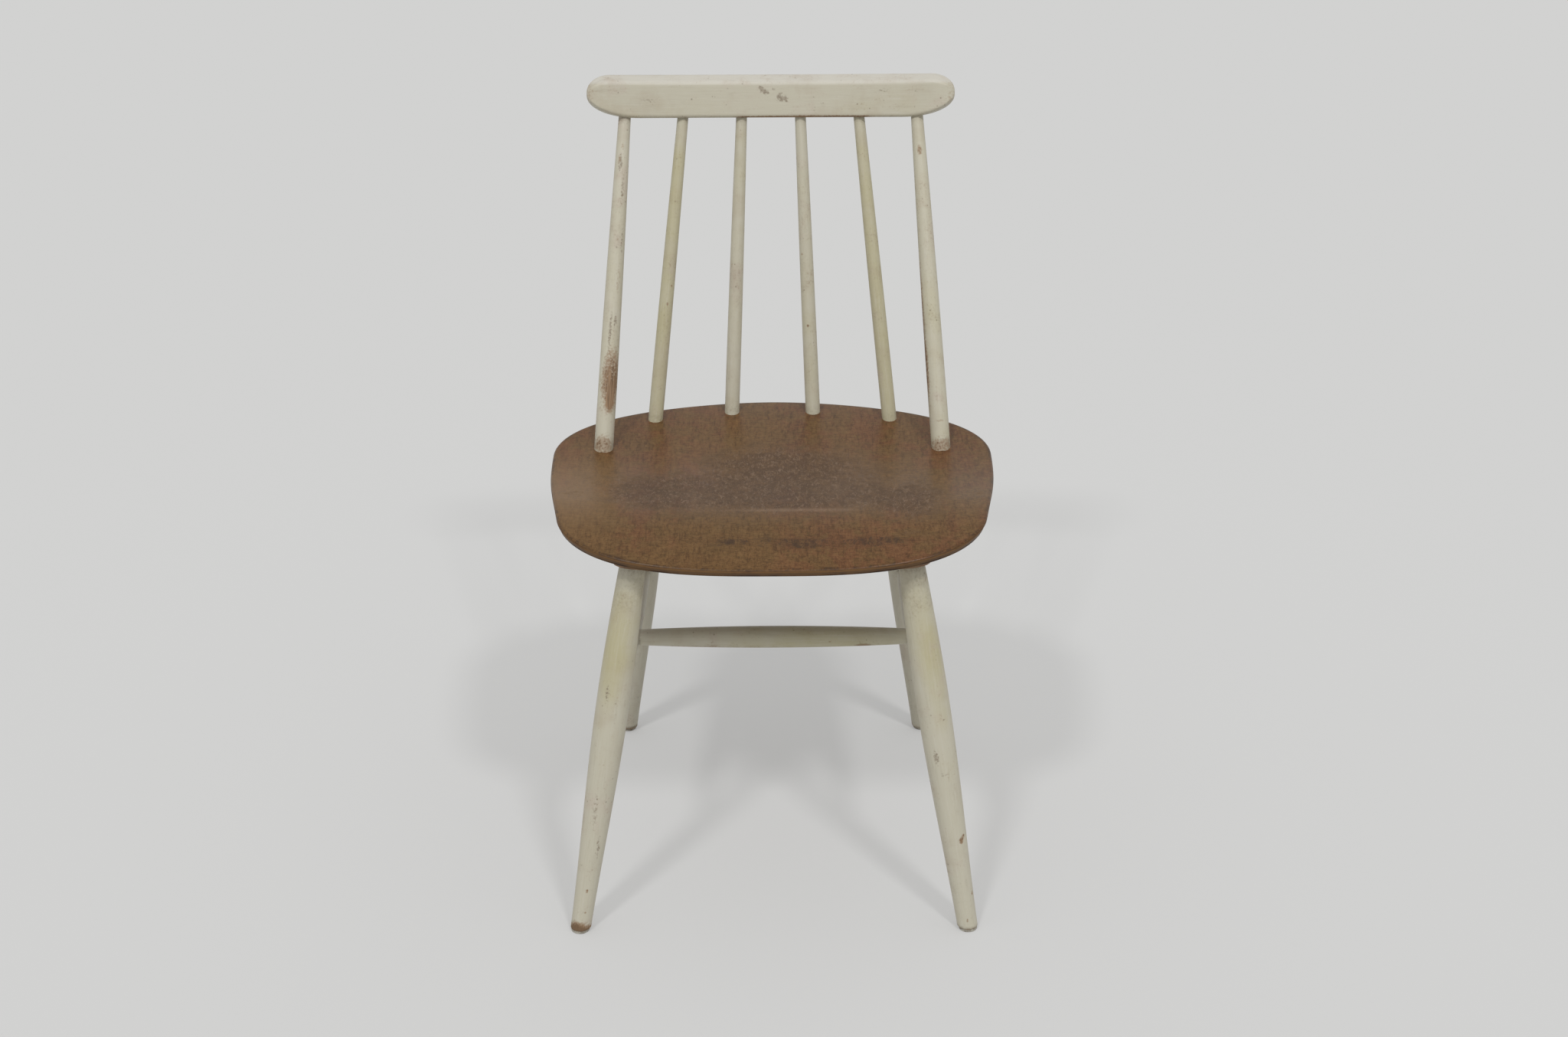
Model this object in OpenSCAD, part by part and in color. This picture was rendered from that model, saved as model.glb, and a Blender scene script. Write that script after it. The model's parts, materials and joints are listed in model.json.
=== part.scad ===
// Spindle-back side chair: a dished plywood seat on four turned legs with an
// H-stretcher, and six turned spindles that carry a curved, leaning crest rail.
// The chair faces -Y and stands on z = 0. All sizes are in millimetres.

/* [Seat] */
// Width of the seat at its widest
seat_w = 490; // [450:1:560]
// Depth of the seat, front edge to back edge
seat_d = 420; // [380:1:460]
// Height of the top of the seat's front edge
seat_h = 428; // [400:1:460]
// Thickness of the plywood
ply_t = 10; // [8:0.5:14]
// How far the front edge rolls down from the seat's ridge
roll_h = 16; // [8:1:24]
// Length of the front roll, measured back from the front edge
roll_l = 135; // [90:1:160]
// Depth of the dish under the sitter
dish_h = 10; // [4:1:14]
// Fall of the seat from the ridge to the back edge
fall_h = 9; // [0:1:16]
// Rise of the seat's two sides
side_h = 6; // [0:1:10]
// Radius of the rounded plywood edge
edge_r = 3; // [1:0.5:3.5]
// How far the seat's lower edge is undercut
undercut = 2; // [0:0.5:4]
// Distance behind the front edge at which the seat is widest
widest_back = 273; // [240:1:300]
// Distance behind the front edge at which the front corners end
corner_back = 86; // [70:1:110]
// How much narrower each side of the seat is at its front corners
corner_in = 18; // [12:0.5:24]

/* [Legs] */
// Diameter of a leg at the floor
leg_foot_d = 22; // [18:0.5:26]
// Diameter of a leg at its fullest
leg_full_d = 35.5; // [32:0.5:40]
// Diameter of a leg at its shoulder under the seat
leg_top_d = 27.5; // [24:0.5:32]
// Where a leg is fullest, as a share of its length from the floor
leg_full_at = 0.65; // [0.55:0.01:0.7]
// Diameter of the tenon on top of a leg
leg_tenon_d = 18; // [14:0.5:20]
// Distance of each front leg's top from the seat's widest side
front_leg_in = 99.5; // [90:0.5:115]
// Distance of the front legs' tops behind the seat's front edge
front_leg_back = 55; // [50:1:75]
// Outward splay of the front legs
front_splay_out = 9.1; // [5:0.1:12]
// Forward splay of the front legs
front_splay_fore = 10.4; // [6:0.1:12]
// Distance of each rear leg's top from the seat's widest side
rear_leg_in = 111; // [103:0.5:119]
// Distance of the rear legs' tops in front of the seat's back edge
rear_leg_fore = 81; // [77:1:90]
// Outward splay of the rear legs
rear_splay_out = 6.7; // [3:0.1:10]
// Backward splay of the rear legs
rear_splay_back = 10; // [6:0.1:13]

/* [Stretchers] */
// Height of the stretchers above the floor
stretcher_h = 244; // [200:1:280]
// Diameter of a stretcher where it meets its neighbour
stretcher_end_d = 17; // [15:0.5:20]
// Diameter of a stretcher at its middle
stretcher_mid_d = 24.6; // [20:0.1:28]
// Diameter of the tenons on the stretchers
stretcher_tenon_d = 11; // [8:0.5:12]
// Length of a stretcher's tenon inside a leg
stretcher_tenon_l = 9; // [6:0.5:10]
// Diameter of the tenons on the cross stretcher
cross_tenon_d = 10; // [7:0.5:11]
// Length of the cross stretcher's tenon inside a side stretcher
cross_tenon_l = 8; // [6:0.5:9]

/* [Seat frame] */
// Thickness of the front rail under the seat
rail_t = 18; // [16:0.5:20]
// Width of the front rail, front to back
rail_w = 44; // [36:1:46]
// How far the front rail runs past the centre of each front leg
rail_past_leg = 20; // [18:1:24]
// Thickness of the rear yoke under the seat
yoke_t = 18; // [17:0.5:20]
// How far the yoke runs outside the line of the spindles
yoke_out = 17; // [13:0.5:18]
// How far the yoke runs inside the line of the spindles
yoke_in = 44; // [42:0.5:46]
// Depth of the blind holes for leg tenons in the rail and the yoke, on their axes
leg_tenon_l = 13; // [10:0.5:14]
// Diameter of the screws that hold the seat down
screw_d = 4; // [3:0.5:4.5]
// Diameter of a screw's countersunk head
screw_head_d = 8; // [6:0.5:9]
// Length of a seat screw
screw_l = 24; // [22:0.5:25]

/* [Back] */
// Distance of the crest rail's lower front edge behind the seat's back edge
crest_behind = 71; // [50:1:90]
// Height of the crest rail's lower front edge above the seat's front edge
crest_rise = 329; // [270:1:370]
// Backward lean of the crest rail
crest_lean = 17; // [10:0.5:20]
// Half the length of the crest rail, measured along its front face
crest_half_l = 208; // [200:1:230]
// Radius of the crest rail's curve, on its front face
crest_r = 560; // [500:10:900]
// Height of the crest rail, along its lean
crest_w = 49; // [44:1:60]
// How much lower the crest rail is at its front face than at its back
crest_fall = 13; // [6:0.5:16]
// Thickness of the crest rail
crest_t = 24; // [22:0.5:28]
// Diameter of the two outer spindles at the seat
outer_foot_d = 21.4; // [19:0.1:24]
// Diameter of the two outer spindles at the crest rail
outer_top_d = 13.8; // [12:0.1:15]
// Diameter of the four inner spindles at the seat
inner_foot_d = 16.7; // [14:0.1:19]
// Diameter of the four inner spindles at the crest rail
inner_top_d = 12.5; // [11:0.1:14]
// Spacing of the spindles along the crest rail
spindle_pitch = 66; // [62:0.5:68]
// Depth of the spindle holes in the crest rail
crest_hole_l = 17; // [12:0.5:18]
// Diameter of the tenon at the foot of each spindle
spindle_tenon_d = 10; // [8:0.5:11]
// Depth below the seat's top that the spindle tenons reach
spindle_tenon_l = 25; // [18:0.5:26]

/* [Feet] */
// Diameter of the glides
glide_d = 20; // [14:0.5:20]
// Thickness of the glides
glide_t = 3.5; // [2:0.5:5]

/* [Hidden] */
$fn = 48;

paint = "#c9c2ac";
veneer = "#70553f";
bare_wood = "#b58f60";
steel = "#9a9a96";
glide_colour = "#77736a";

// Clearance of a glued tenon or a driven screw in its hole, on the radius
gap = 0.05;
// Thickness of the glue line between two wooden faces
glue = 0.1;
// How deep the spindles' shoulders sit in the top of the seat
shoulder_sink = 2;
// Height of a cutting block, larger than anything it cuts
big = 1000;

// Places of the legs and the crest rail, taken from the seat's edges
half_w = seat_w / 2;
front_leg_x = half_w - front_leg_in;
rear_leg_x = half_w - rear_leg_in;
rear_leg_back = seat_d - rear_leg_fore;
crest_back = seat_d + crest_behind;
crest_h = seat_h + crest_rise;

// Rounding of a glide's rim
glide_round = 1;
// Radius and length of the pin that holds a glide
pin_r = 1.2;
pin_l = 14;
// Radii of the crest rail's lower edges, upper back edge and upper front edge
crest_low_r = 4;
crest_back_r = 6;
crest_front_r = 7;
// Lengths over which the rail's ends round off: above, below and in thickness
end_top_l = 29;
end_bottom_l = 60;
end_face_l = 30;
// Share of the rail's height at which its ends stand out furthest
end_split = 0.55;

// ---- Curves ------------------------------------------------------------

function bezier(p, t) =
    pow(1 - t, 3) * p[0] + 3 * pow(1 - t, 2) * t * p[1]
    + 3 * (1 - t) * t * t * p[2] + pow(t, 3) * p[3];
function bezier_slope(p, t) =
    3 * (pow(1 - t, 2) * (p[1] - p[0]) + 2 * (1 - t) * t * (p[2] - p[1])
    + t * t * (p[3] - p[2]));
function unit(v) = v / norm(v);
function ellipse_drop(u) = 1 - sqrt(max(0, 1 - u * u));

// ---- Plan of the chair -------------------------------------------------

// How far the chair reaches in front of and behind the seat's front edge
reach_fore = (front_leg_z() - glide_t) * tan(front_splay_fore)
    + leg_foot_d / 2 / cos(front_splay_fore) - front_leg_back;
reach_back = crest_back
    + max([for (p = crest_section()) p[0] * cos(crest_lean) + p[1] * sin(crest_lean)]);
// Place of the seat's front edge, so that the chair's middle is at y = 0
front_y = (reach_fore - reach_back) / 2;

// Height of the seat's top, x from the middle and v behind the front edge
function seat_z(x, v) =
    seat_h + roll_h
    - roll_h * pow(max(0, 1 - max(v, 0) / roll_l), 2.4)
    - dish_h * pow(sin(180 * min(1, max(0, (v - roll_l / 2) / (seat_d - roll_l / 2)))), 2)
    - fall_h * max(0, (v - roll_l) / (seat_d - roll_l))
    + side_h * pow(min(1, abs(x) / (seat_w / 2)), 3);
function under_z(x, v) = seat_z(x, v) - ply_t;

// Right half of the seat's outline, as three tangent curves
corner = [half_w - corner_in, corner_back];
widest = [half_w, widest_back];
// Outward slope of the outline at the front corner, and lengths of the straight
// run at the front's middle and of the tangents at the corner and the widest place
corner_slope = 0.16;
flat_l = 90;
corner_tangent = 80;
widest_tangent_fore = 70;
widest_tangent_back = 100;
corner_run = unit([corner_slope, 1]);
outline_front = [[0, 0], [flat_l, 0], corner - corner_back * corner_run, corner];
outline_side = [corner, corner + corner_tangent * corner_run,
    widest - [0, widest_tangent_fore], widest];
outline_back = [widest, widest + [0, widest_tangent_back], [flat_l, seat_d], [0, seat_d]];

edge_steps = 14;
half_outline = concat(
    [for (i = [0 : edge_steps - 1]) bezier(outline_front, i / edge_steps)],
    [for (i = [0 : edge_steps / 2 - 1]) bezier(outline_side, 2 * i / edge_steps)],
    [for (i = [0 : edge_steps]) bezier(outline_back, i / edge_steps)]);
outline = concat(half_outline,
    [for (i = [len(half_outline) - 2 : -1 : 1]) [-half_outline[i][0], half_outline[i][1]]]);
seat_mid = [0, seat_d / 2];

// ---- Legs ----------------------------------------------------------------

function front_leg_z() = under_z(0, front_leg_back) - rail_t;
yoke_z = under_z(0, rear_leg_back) - yoke_t;

// A leg's axis: its top at the rail, and its foot on the floor
function front_top(side) = [side * front_leg_x, front_y + front_leg_back, front_leg_z()];
function rear_top(side) = [side * rear_leg_x, front_y + rear_leg_back, yoke_z];
function front_foot(side) = front_top(side)
    + front_leg_z() * [side * tan(front_splay_out), -tan(front_splay_fore), -1];
function rear_foot(side) = rear_top(side)
    + yoke_z * [side * tan(rear_splay_out), tan(rear_splay_back), -1];
function on_axis(foot, top, z) = foot + (top - foot) * z / top[2];

// Radius of a leg, s along it from the foot (0) to the shoulder (1)
function leg_r(s) = s < leg_full_at
    ? (leg_foot_d + (leg_full_d - leg_foot_d) * pow(sin(90 * s / leg_full_at), 1.5)) / 2
    : (leg_full_d - (leg_full_d - leg_top_d)
        * pow((s - leg_full_at) / (1 - leg_full_at), 1.6)) / 2;

// ---- Spindles ------------------------------------------------------------

// Right half of the line of the spindles on the seat, as x and v: how far its
// four points lie inside the seat's side and its back edge
line_in = [half_w, 135, 63, 43];
line_fore = [30, 28, 38, 180];
spindle_line = [for (k = [0 : 3]) [half_w - line_in[k], seat_d - line_fore[k]]];
// Place of each spindle along that line: inner, mid and outer
spindle_at = [0.15, 0.5, 0.855];

function spindle_plan(i) = bezier(spindle_line, spindle_at[i]);
function spindle_foot(i, side) = let (p = spindle_plan(i))
    [side * p[0], front_y + p[1], seat_z(p[0], p[1])];

// A point of the crest rail: a along its front face, n behind it, s up it
function crest_local(a, n, s) = let (phi = a / crest_r * 180 / PI)
    [(crest_r + n) * sin(phi), (crest_r + n) * cos(phi) - crest_r, s];
function crest_point(a, n, s) = let (p = crest_local(a, n, s)) [
    p[0],
    front_y + crest_back + p[1] * cos(crest_lean) + p[2] * sin(crest_lean),
    crest_h - p[1] * sin(crest_lean) + p[2] * cos(crest_lean)];
function spindle_top(i, side) = crest_point(side * (i + 0.5) * spindle_pitch, crest_t / 2, 0);

function spindle_foot_d(i) = i == 2 ? outer_foot_d : inner_foot_d;
function spindle_top_d(i) = i == 2 ? outer_top_d : inner_top_d;
// Radius of spindle i, s along it from the seat (0) to the crest rail (1)
function spindle_r(i, s) = (spindle_foot_d(i)
    - (spindle_foot_d(i) - spindle_top_d(i)) * pow(min(1, max(0, s)), 1.9)) / 2;

// ---- Shared modules --------------------------------------------------------

// Places its children with their +Z axis along the line from p to q. The seams
// of round pieces are turned to the side, away from the steepest of the cuts.
module along(p, q) {
    d = q - p;
    seam = 90;
    translate(p)
        rotate([0, acos(d[2] / norm(d)), atan2(d[1], d[0])])
            rotate([0, 0, seam])
                children();
}

// Everything above height z
module above(z) {
    translate([-big, -big, z]) cube([2 * big, 2 * big, big]);
}

// Everything below height z
module below(z) {
    translate([-big, -big, z - big]) cube([2 * big, 2 * big, big]);
}

// A closed skin from rings of points; every ring has the same count
module skin(rings) {
    n = len(rings[0]);
    m = len(rings);
    polyhedron(
        points = [for (ring = rings) for (p = ring) p],
        faces = concat(
            [for (j = [0 : m - 2]) for (i = [0 : n - 1]) each let (
                a = j * n + i,
                b = j * n + (i + 1) % n)
                [[a, b, b + n], [a, b + n, a + n]]],
            [[for (i = [n - 1 : -1 : 0]) i]],
            [[for (i = [0 : n - 1]) (m - 1) * n + i]]));
}

// ---- Seat ------------------------------------------------------------------

// Shares of the outline at which the seat's faces have rings
top_rings = [0.06, 0.25, 0.43, 0.58, 0.7, 0.8, 0.875, 0.93];
bottom_rings = [0.93, 0.86, 0.8, 0.74, 0.68, 0.6, 0.48, 0.35, 0.2, 0.06];

// The seat's outline drawn in by an inset, dropped below the top surface
function seat_ring(inset, drop) = [for (p = outline) let (
    q = p - inset * unit(p - seat_mid))
    [q[0], front_y + q[1], seat_z(q[0], q[1]) - drop]];
function seat_share_ring(share, drop) = [for (p = outline) let (
    q = seat_mid + share * (p - seat_mid))
    [q[0], front_y + q[1], seat_z(q[0], q[1]) - drop]];

module seat_board() {
    skin(concat(
        [for (s = top_rings) seat_share_ring(s, 0)],
        [for (w = [0 : 22.5 : 90]) seat_ring(edge_r * (1 - sin(w)), edge_r * (1 - cos(w)))],
        [for (w = [90 : -22.5 : 0])
            seat_ring(undercut + edge_r * (1 - sin(w)), ply_t - edge_r * (1 - cos(w)))],
        [for (s = bottom_rings) seat_share_ring(s, ply_t)]));
}

module seat() {
    color(veneer) difference() {
        seat_board();
        for (i = [0 : 2], side = [-1, 1]) {
            intersection() {
                along(spindle_foot(i, side), spindle_top(i, side))
                    translate([0, 0, -spindle_foot_d(i)])
                        cylinder(r = spindle_foot_d(i) / 2 + gap, h = 3 * spindle_foot_d(i));
                above(spindle_foot(i, side)[2] - shoulder_sink);
            }
            spindle_tenon_hole(i, side);
        }
        for (p = screw_places)
            screw_hole(p);
    }
}

module spindle_tenon_hole(i, side) {
    along(spindle_foot(i, side), spindle_top(i, side))
        translate([0, 0, -spindle_tenon_l - gap])
            cylinder(d = spindle_tenon_d + 2 * gap, h = spindle_tenon_l + 2 * gap);
}

// ---- Back ------------------------------------------------------------------

module spindle(i, side) {
    foot = spindle_foot(i, side);
    top = spindle_top(i, side);
    length = norm(top - foot);
    steps = 16;
    color(paint) intersection() {
        above(foot[2] - shoulder_sink);
        along(foot, top)
            rotate_extrude()
                polygon(concat(
                    [[0, -spindle_foot_d(i)], [spindle_r(i, 0), -spindle_foot_d(i)]],
                    [for (k = [1 : steps]) [spindle_r(i, k / steps), length * k / steps]],
                    [[spindle_r(i, 1), length + crest_hole_l - 1],
                    [spindle_r(i, 1) - 1, length + crest_hole_l],
                    [0, length + crest_hole_l]]));
    }
    color(paint) along(foot, top)
        translate([0, 0, -spindle_tenon_l])
            cylinder(d = spindle_tenon_d, h = spindle_tenon_l + 1);
}

// Outline of the crest rail's section: n from its front face, s from its bottom
function crest_section() = concat(
    corner_arc(crest_low_r, crest_low_r, crest_low_r, 180, 270, 4),
    corner_arc(crest_t - crest_low_r, crest_low_r, crest_low_r, 270, 360, 4),
    [[crest_t, crest_w / 2]],
    corner_arc(crest_t - crest_back_r, crest_w - crest_back_r, crest_back_r, 0, 70, 4),
    [[crest_t * 0.45, crest_w - crest_fall * 0.24]],
    corner_arc(crest_front_r, crest_w - crest_fall, crest_front_r, 125, 180, 5),
    [[0, crest_w / 2]]);
function corner_arc(n, s, r, from, to, steps) =
    [for (k = [0 : steps]) let (w = from + (to - from) * k / steps)
        [n + r * cos(w), s + r * sin(w)]];

// The section at a distance a along the rail, drawn in towards the ends
function crest_ring(a) = let (
    u = abs(a),
    e = crest_half_l,
    top = crest_w - crest_w * (1 - end_split)
        * ellipse_drop(max(0, (u - (e - end_top_l)) / end_top_l)),
    bottom = crest_w * end_split * ellipse_drop(max(0, (u - (e - end_bottom_l)) / end_bottom_l)),
    thin = 1 - ellipse_drop(max(0, (u - (e - end_face_l)) / end_face_l)))
    [for (p = crest_section()) crest_point(a,
        crest_t / 2 + (p[0] - crest_t / 2) * thin,
        bottom + (top - bottom) * p[1] / crest_w)];

module crest_rail() {
    rings = 20;
    color(paint) difference() {
        skin([for (k = [-rings : rings]) crest_ring(
            crest_half_l * 0.9995 * sin(90 * k / rings))]);
        for (i = [0 : 2], side = [-1, 1])
            along(spindle_top(i, side), 2 * spindle_top(i, side) - spindle_foot(i, side))
                translate([0, 0, -spindle_top_d(i)])
                    cylinder(r = spindle_r(i, 1) + gap,
                        h = crest_hole_l + spindle_top_d(i) + gap);
    }
}

// ---- Legs and stretchers ----------------------------------------------------

module leg(foot, top) {
    length = norm(top - foot);
    steps = 22;
    color(paint) difference() {
        intersection() {
            along(foot, top)
                rotate_extrude()
                    polygon(concat(
                        [[0, -glide_d], [leg_r(0), -glide_d]],
                        [for (k = [1 : steps - 1]) [leg_r(k / steps), length * k / steps]],
                        [[leg_r(1), length + leg_top_d], [0, length + leg_top_d]]));
            above(glide_t);
            below(top[2]);
        }
        for (j = leg_joints)
            tenon_hole(j[0], j[1], j[2], stretcher_tenon_d, stretcher_tenon_l);
        translate([foot[0], foot[1], 0])
            cylinder(r = pin_r + gap, h = glide_t + pin_l + gap);
    }
    color(paint) along(foot, top)
        translate([0, 0, length - leg_top_d / 2])
            cylinder(d = leg_tenon_d, h = leg_top_d / 2 + leg_tenon_l);
}

module leg_tenon_hole(foot, top) {
    along(foot, top)
        cylinder(d = leg_tenon_d + 2 * gap, h = norm(top - foot) + leg_tenon_l + gap);
}

// Where the stretchers' axes meet the legs' axes, and each other
function side_front(side) = on_axis(front_foot(side), front_top(side), stretcher_h);
function side_rear(side) = on_axis(rear_foot(side), rear_top(side), stretcher_h);
function side_mid(side) = (side_front(side) + side_rear(side)) / 2;

// Radius of a front leg, a rear leg and a side stretcher at those places
front_r = leg_r(stretcher_h / front_top(1)[2]);
rear_r = leg_r(stretcher_h / rear_top(1)[2]);
side_r = stretcher_mid_d / 2;

// Each joint of a side stretcher with a leg: from, to and the leg's radius
leg_joints = [for (side = [-1, 1]) each [
    [side_front(side), side_rear(side), front_r],
    [side_rear(side), side_front(side), rear_r]]];

// A hole for a tenon of diameter d and length l, in a round piece of radius r
// whose axis passes p; the hole's own axis runs from p to q
module tenon_hole(p, q, r, d, l) {
    along(p, q)
        translate([0, 0, r - l - gap])
            cylinder(d = d + 2 * gap, h = r);
}
module tenon(p, q, r, d, l) {
    along(p, q)
        translate([0, 0, r - l])
            cylinder(d = d, h = l + 2);
}

// Distance from a round neighbour's axis at which a stretcher's rim meets it
function shoulder(r) = sqrt(r * r - pow(stretcher_end_d / 2, 2));

// The fat middle of a stretcher between the axes at p and q
module stretcher_body(p, q, r1, r2) {
    length = norm(q - p);
    start = shoulder(r1);
    span = length - start - shoulder(r2);
    steps = 16;
    along(p, q)
        rotate_extrude()
            polygon(concat(
                [[0, start]],
                [for (k = [0 : steps]) [
                    (stretcher_end_d + (stretcher_mid_d - stretcher_end_d)
                        * pow(sin(180 * k / steps), 0.8)) / 2,
                    start + span * k / steps]],
                [[0, start + span]]));
}

// The space of a round neighbour, from p to q along its axis
module coping(p, q, r) {
    along(p, q)
        cylinder(r = r + glue, h = norm(q - p));
}

module side_stretcher(side) {
    p = side_front(side);
    q = side_rear(side);
    color(paint) difference() {
        union() {
            difference() {
                stretcher_body(p, q, front_r, rear_r);
                coping(front_foot(side), front_top(side), front_r);
                coping(rear_foot(side), rear_top(side), rear_r);
            }
            tenon(p, q, front_r, stretcher_tenon_d, stretcher_tenon_l);
            tenon(q, p, rear_r, stretcher_tenon_d, stretcher_tenon_l);
        }
        tenon_hole(side_mid(side), side_mid(-side), side_r, cross_tenon_d, cross_tenon_l);
    }
}

module cross_stretcher() {
    color(paint) {
        difference() {
            stretcher_body(side_mid(-1), side_mid(1), side_r, side_r);
            for (side = [-1, 1])
                coping(side_front(side), side_rear(side), side_r);
        }
        for (side = [-1, 1])
            tenon(side_mid(side), side_mid(-side), side_r, cross_tenon_d, cross_tenon_l);
    }
}

// ---- Seat frame --------------------------------------------------------------

// Distances of the seat screws from the middle in the rail and the yoke, how far
// the yoke's middle and outer screws stand inside the spindles' line, and the
// outer ones' places along it
rail_screw_x = [40, 100];
yoke_screw_x = 18;
yoke_screw_in = 20;
arm_screw_in = 14;
arm_screw_at = [0.34, 0.68];
// Places of the seat screws in plan, x and v, with the height of their heads
screw_places = concat(
    [for (x = rail_screw_x, side = [-1, 1]) [side * x, front_leg_back, front_leg_z()]],
    [for (t = arm_screw_at, side = [-1, 1]) let (
        p = bezier(spindle_line, t),
        inward = unit([-bezier_slope(spindle_line, t)[1], bezier_slope(spindle_line, t)[0]]))
        [side * (p[0] - arm_screw_in * inward[0]), p[1] - arm_screw_in * inward[1], yoke_z]],
    [for (side = [-1, 1])
        [side * yoke_screw_x, bezier(spindle_line, 0)[1] - yoke_screw_in, yoke_z]]);

screw_csk = (screw_head_d - screw_d) / 2;

module screw_body(r, head_r, length, tip) {
    rotate_extrude()
        polygon([[0, 0], [head_r, 0], [head_r, 0.6], [r, 0.6 + screw_csk],
            [r, length - tip], [r * (1 - min(1, tip)), length], [0, length]]);
}

module screw_hole(p) {
    translate([p[0], front_y + p[1], p[2] - gap])
        screw_body(screw_d / 2 + gap, screw_head_d / 2 + gap, screw_l + 3 * gap, 0);
}

module seat_screws() {
    color(steel) for (p = screw_places)
        translate([p[0], front_y + p[1], p[2]])
            difference() {
                screw_body(screw_d / 2, screw_head_d / 2, screw_l, 1);
                translate([0, 0, -1]) cylinder(d = 1.6, h = 2.4);
                for (turn = [0, 90])
                    rotate([0, 0, turn])
                        translate([-2.2, -0.45, -1]) cube([4.4, 0.9, 2.2]);
            }
}

// Cross strips of a board, so that its top follows the seat's underside
module strip_board(strips, z) {
    m = len(strips);
    n = len(strips[0]);
    points = concat(
        [for (strip = strips) for (p = strip) [p[0], front_y + p[1], z]],
        [for (strip = strips) for (p = strip)
            [p[0], front_y + p[1], under_z(p[0], p[1]) - glue]]);
    top = m * n;
    polyhedron(points = points, faces = concat(
        [for (j = [0 : m - 2], i = [0 : n - 2]) each let (a = j * n + i)
            [[a, a + n, a + n + 1], [a, a + n + 1, a + 1]]],
        [for (j = [0 : m - 2], i = [0 : n - 2]) each let (a = top + j * n + i)
            [[a, a + n + 1, a + n], [a, a + 1, a + n + 1]]],
        [for (j = [0 : m - 2]) each let (a = j * n, b = a + n)
            [[a, a + top, b + top], [a, b + top, b]]],
        [for (j = [0 : m - 2]) each let (a = j * n + n - 1, b = a + n)
            [[a, b, b + top], [a, b + top, a + top]]],
        [for (i = [0 : n - 2]) each let (a = i, b = i + 1)
            [[a, b, b + top], [a, b + top, a + top]]],
        [for (i = [0 : n - 2]) each let (a = (m - 1) * n + i, b = a + 1)
            [[a, a + top, b + top], [a, b + top, b]]]));
}

module front_rail() {
    reach = front_leg_x + rail_past_leg;
    steps = 16;
    strips = [for (k = [-steps : steps]) let (
        x = reach * sin(90 * k / steps),
        half = rail_w / 2 * sqrt(1 - 0.9 * pow(abs(x) / reach, 10)))
        [for (j = [-3 : 3]) [x, front_leg_back + half * j / 3]]];
    color(bare_wood) difference() {
        strip_board(strips, front_leg_z());
        for (side = [-1, 1])
            leg_tenon_hole(front_foot(side), front_top(side));
        for (p = screw_places)
            screw_hole(p);
    }
}

// Share of the yoke's width that is left near its ends, t along its line
function yoke_end(t) = sqrt(1 - 0.9 * pow(max(0, t - 0.9) / 0.1, 2));

module rear_yoke() {
    steps = 18;
    half = [for (k = [0 : steps]) let (
        t = sin(90 * k / steps),
        p = bezier(spindle_line, t),
        d = unit(bezier_slope(spindle_line, t)),
        out = [-d[1], d[0]],
        inner = yoke_in * (1 - 0.45 * pow(t, 3)),
        middle = (yoke_out - inner) / 2,
        half_width = yoke_end(t) * (yoke_out + inner) / 2)
        [for (j = [0 : 4]) p + (middle + half_width * (1 - j / 2)) * out]];
    mirrored = [for (k = [steps : -1 : 1]) [for (p = half[k]) [-p[0], p[1]]]];
    color(bare_wood) difference() {
        strip_board(concat(mirrored, half), yoke_z);
        for (side = [-1, 1]) {
            leg_tenon_hole(rear_foot(side), rear_top(side));
            for (i = [0 : 2])
                spindle_tenon_hole(i, side);
        }
        for (p = screw_places)
            screw_hole(p);
    }
}

// ---- Glides --------------------------------------------------------------------

module glide(foot) {
    color(glide_colour) translate([foot[0], foot[1], 0]) {
        rotate_extrude()
            polygon([[0, 0], [glide_d / 2 - glide_round, 0],
                for (w = [30 : 30 : 60]) [
                    glide_d / 2 - glide_round * (1 - sin(w)),
                    glide_round * (1 - cos(w))],
                [glide_d / 2, glide_round], [glide_d / 2, glide_t], [0, glide_t]]);
        cylinder(r = pin_r, h = glide_t + pin_l);
    }
}

// ---- The chair -------------------------------------------------------------------

seat();
crest_rail();
spindle(2, -1);  // spindle_outer_left
spindle(1, -1);  // spindle_mid_left
spindle(0, -1);  // spindle_inner_left
spindle(0, 1);  // spindle_inner_right
spindle(1, 1);  // spindle_mid_right
spindle(2, 1);  // spindle_outer_right
leg(front_foot(-1), front_top(-1));  // front_leg_left
leg(front_foot(1), front_top(1));  // front_leg_right
leg(rear_foot(-1), rear_top(-1));  // rear_leg_left
leg(rear_foot(1), rear_top(1));  // rear_leg_right
side_stretcher(-1);  // side_stretcher_left
side_stretcher(1);  // side_stretcher_right
cross_stretcher();
front_rail();
rear_yoke();
seat_screws();
glide(front_foot(-1));  // glide_front_left
glide(front_foot(1));  // glide_front_right
glide(rear_foot(-1));  // glide_rear_left
glide(rear_foot(1));  // glide_rear_right
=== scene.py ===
"""Looks for a weathered spindle-back side chair: cream paint over beech, and a scuffed brown seat."""

import json
import logging
import math
from dataclasses import dataclass, field
from enum import Enum
from typing import Callable, ClassVar, Iterable, NamedTuple, Sequence

import bmesh
import bpy
import numpy as np
from mathutils import Matrix, Vector, noise


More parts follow.
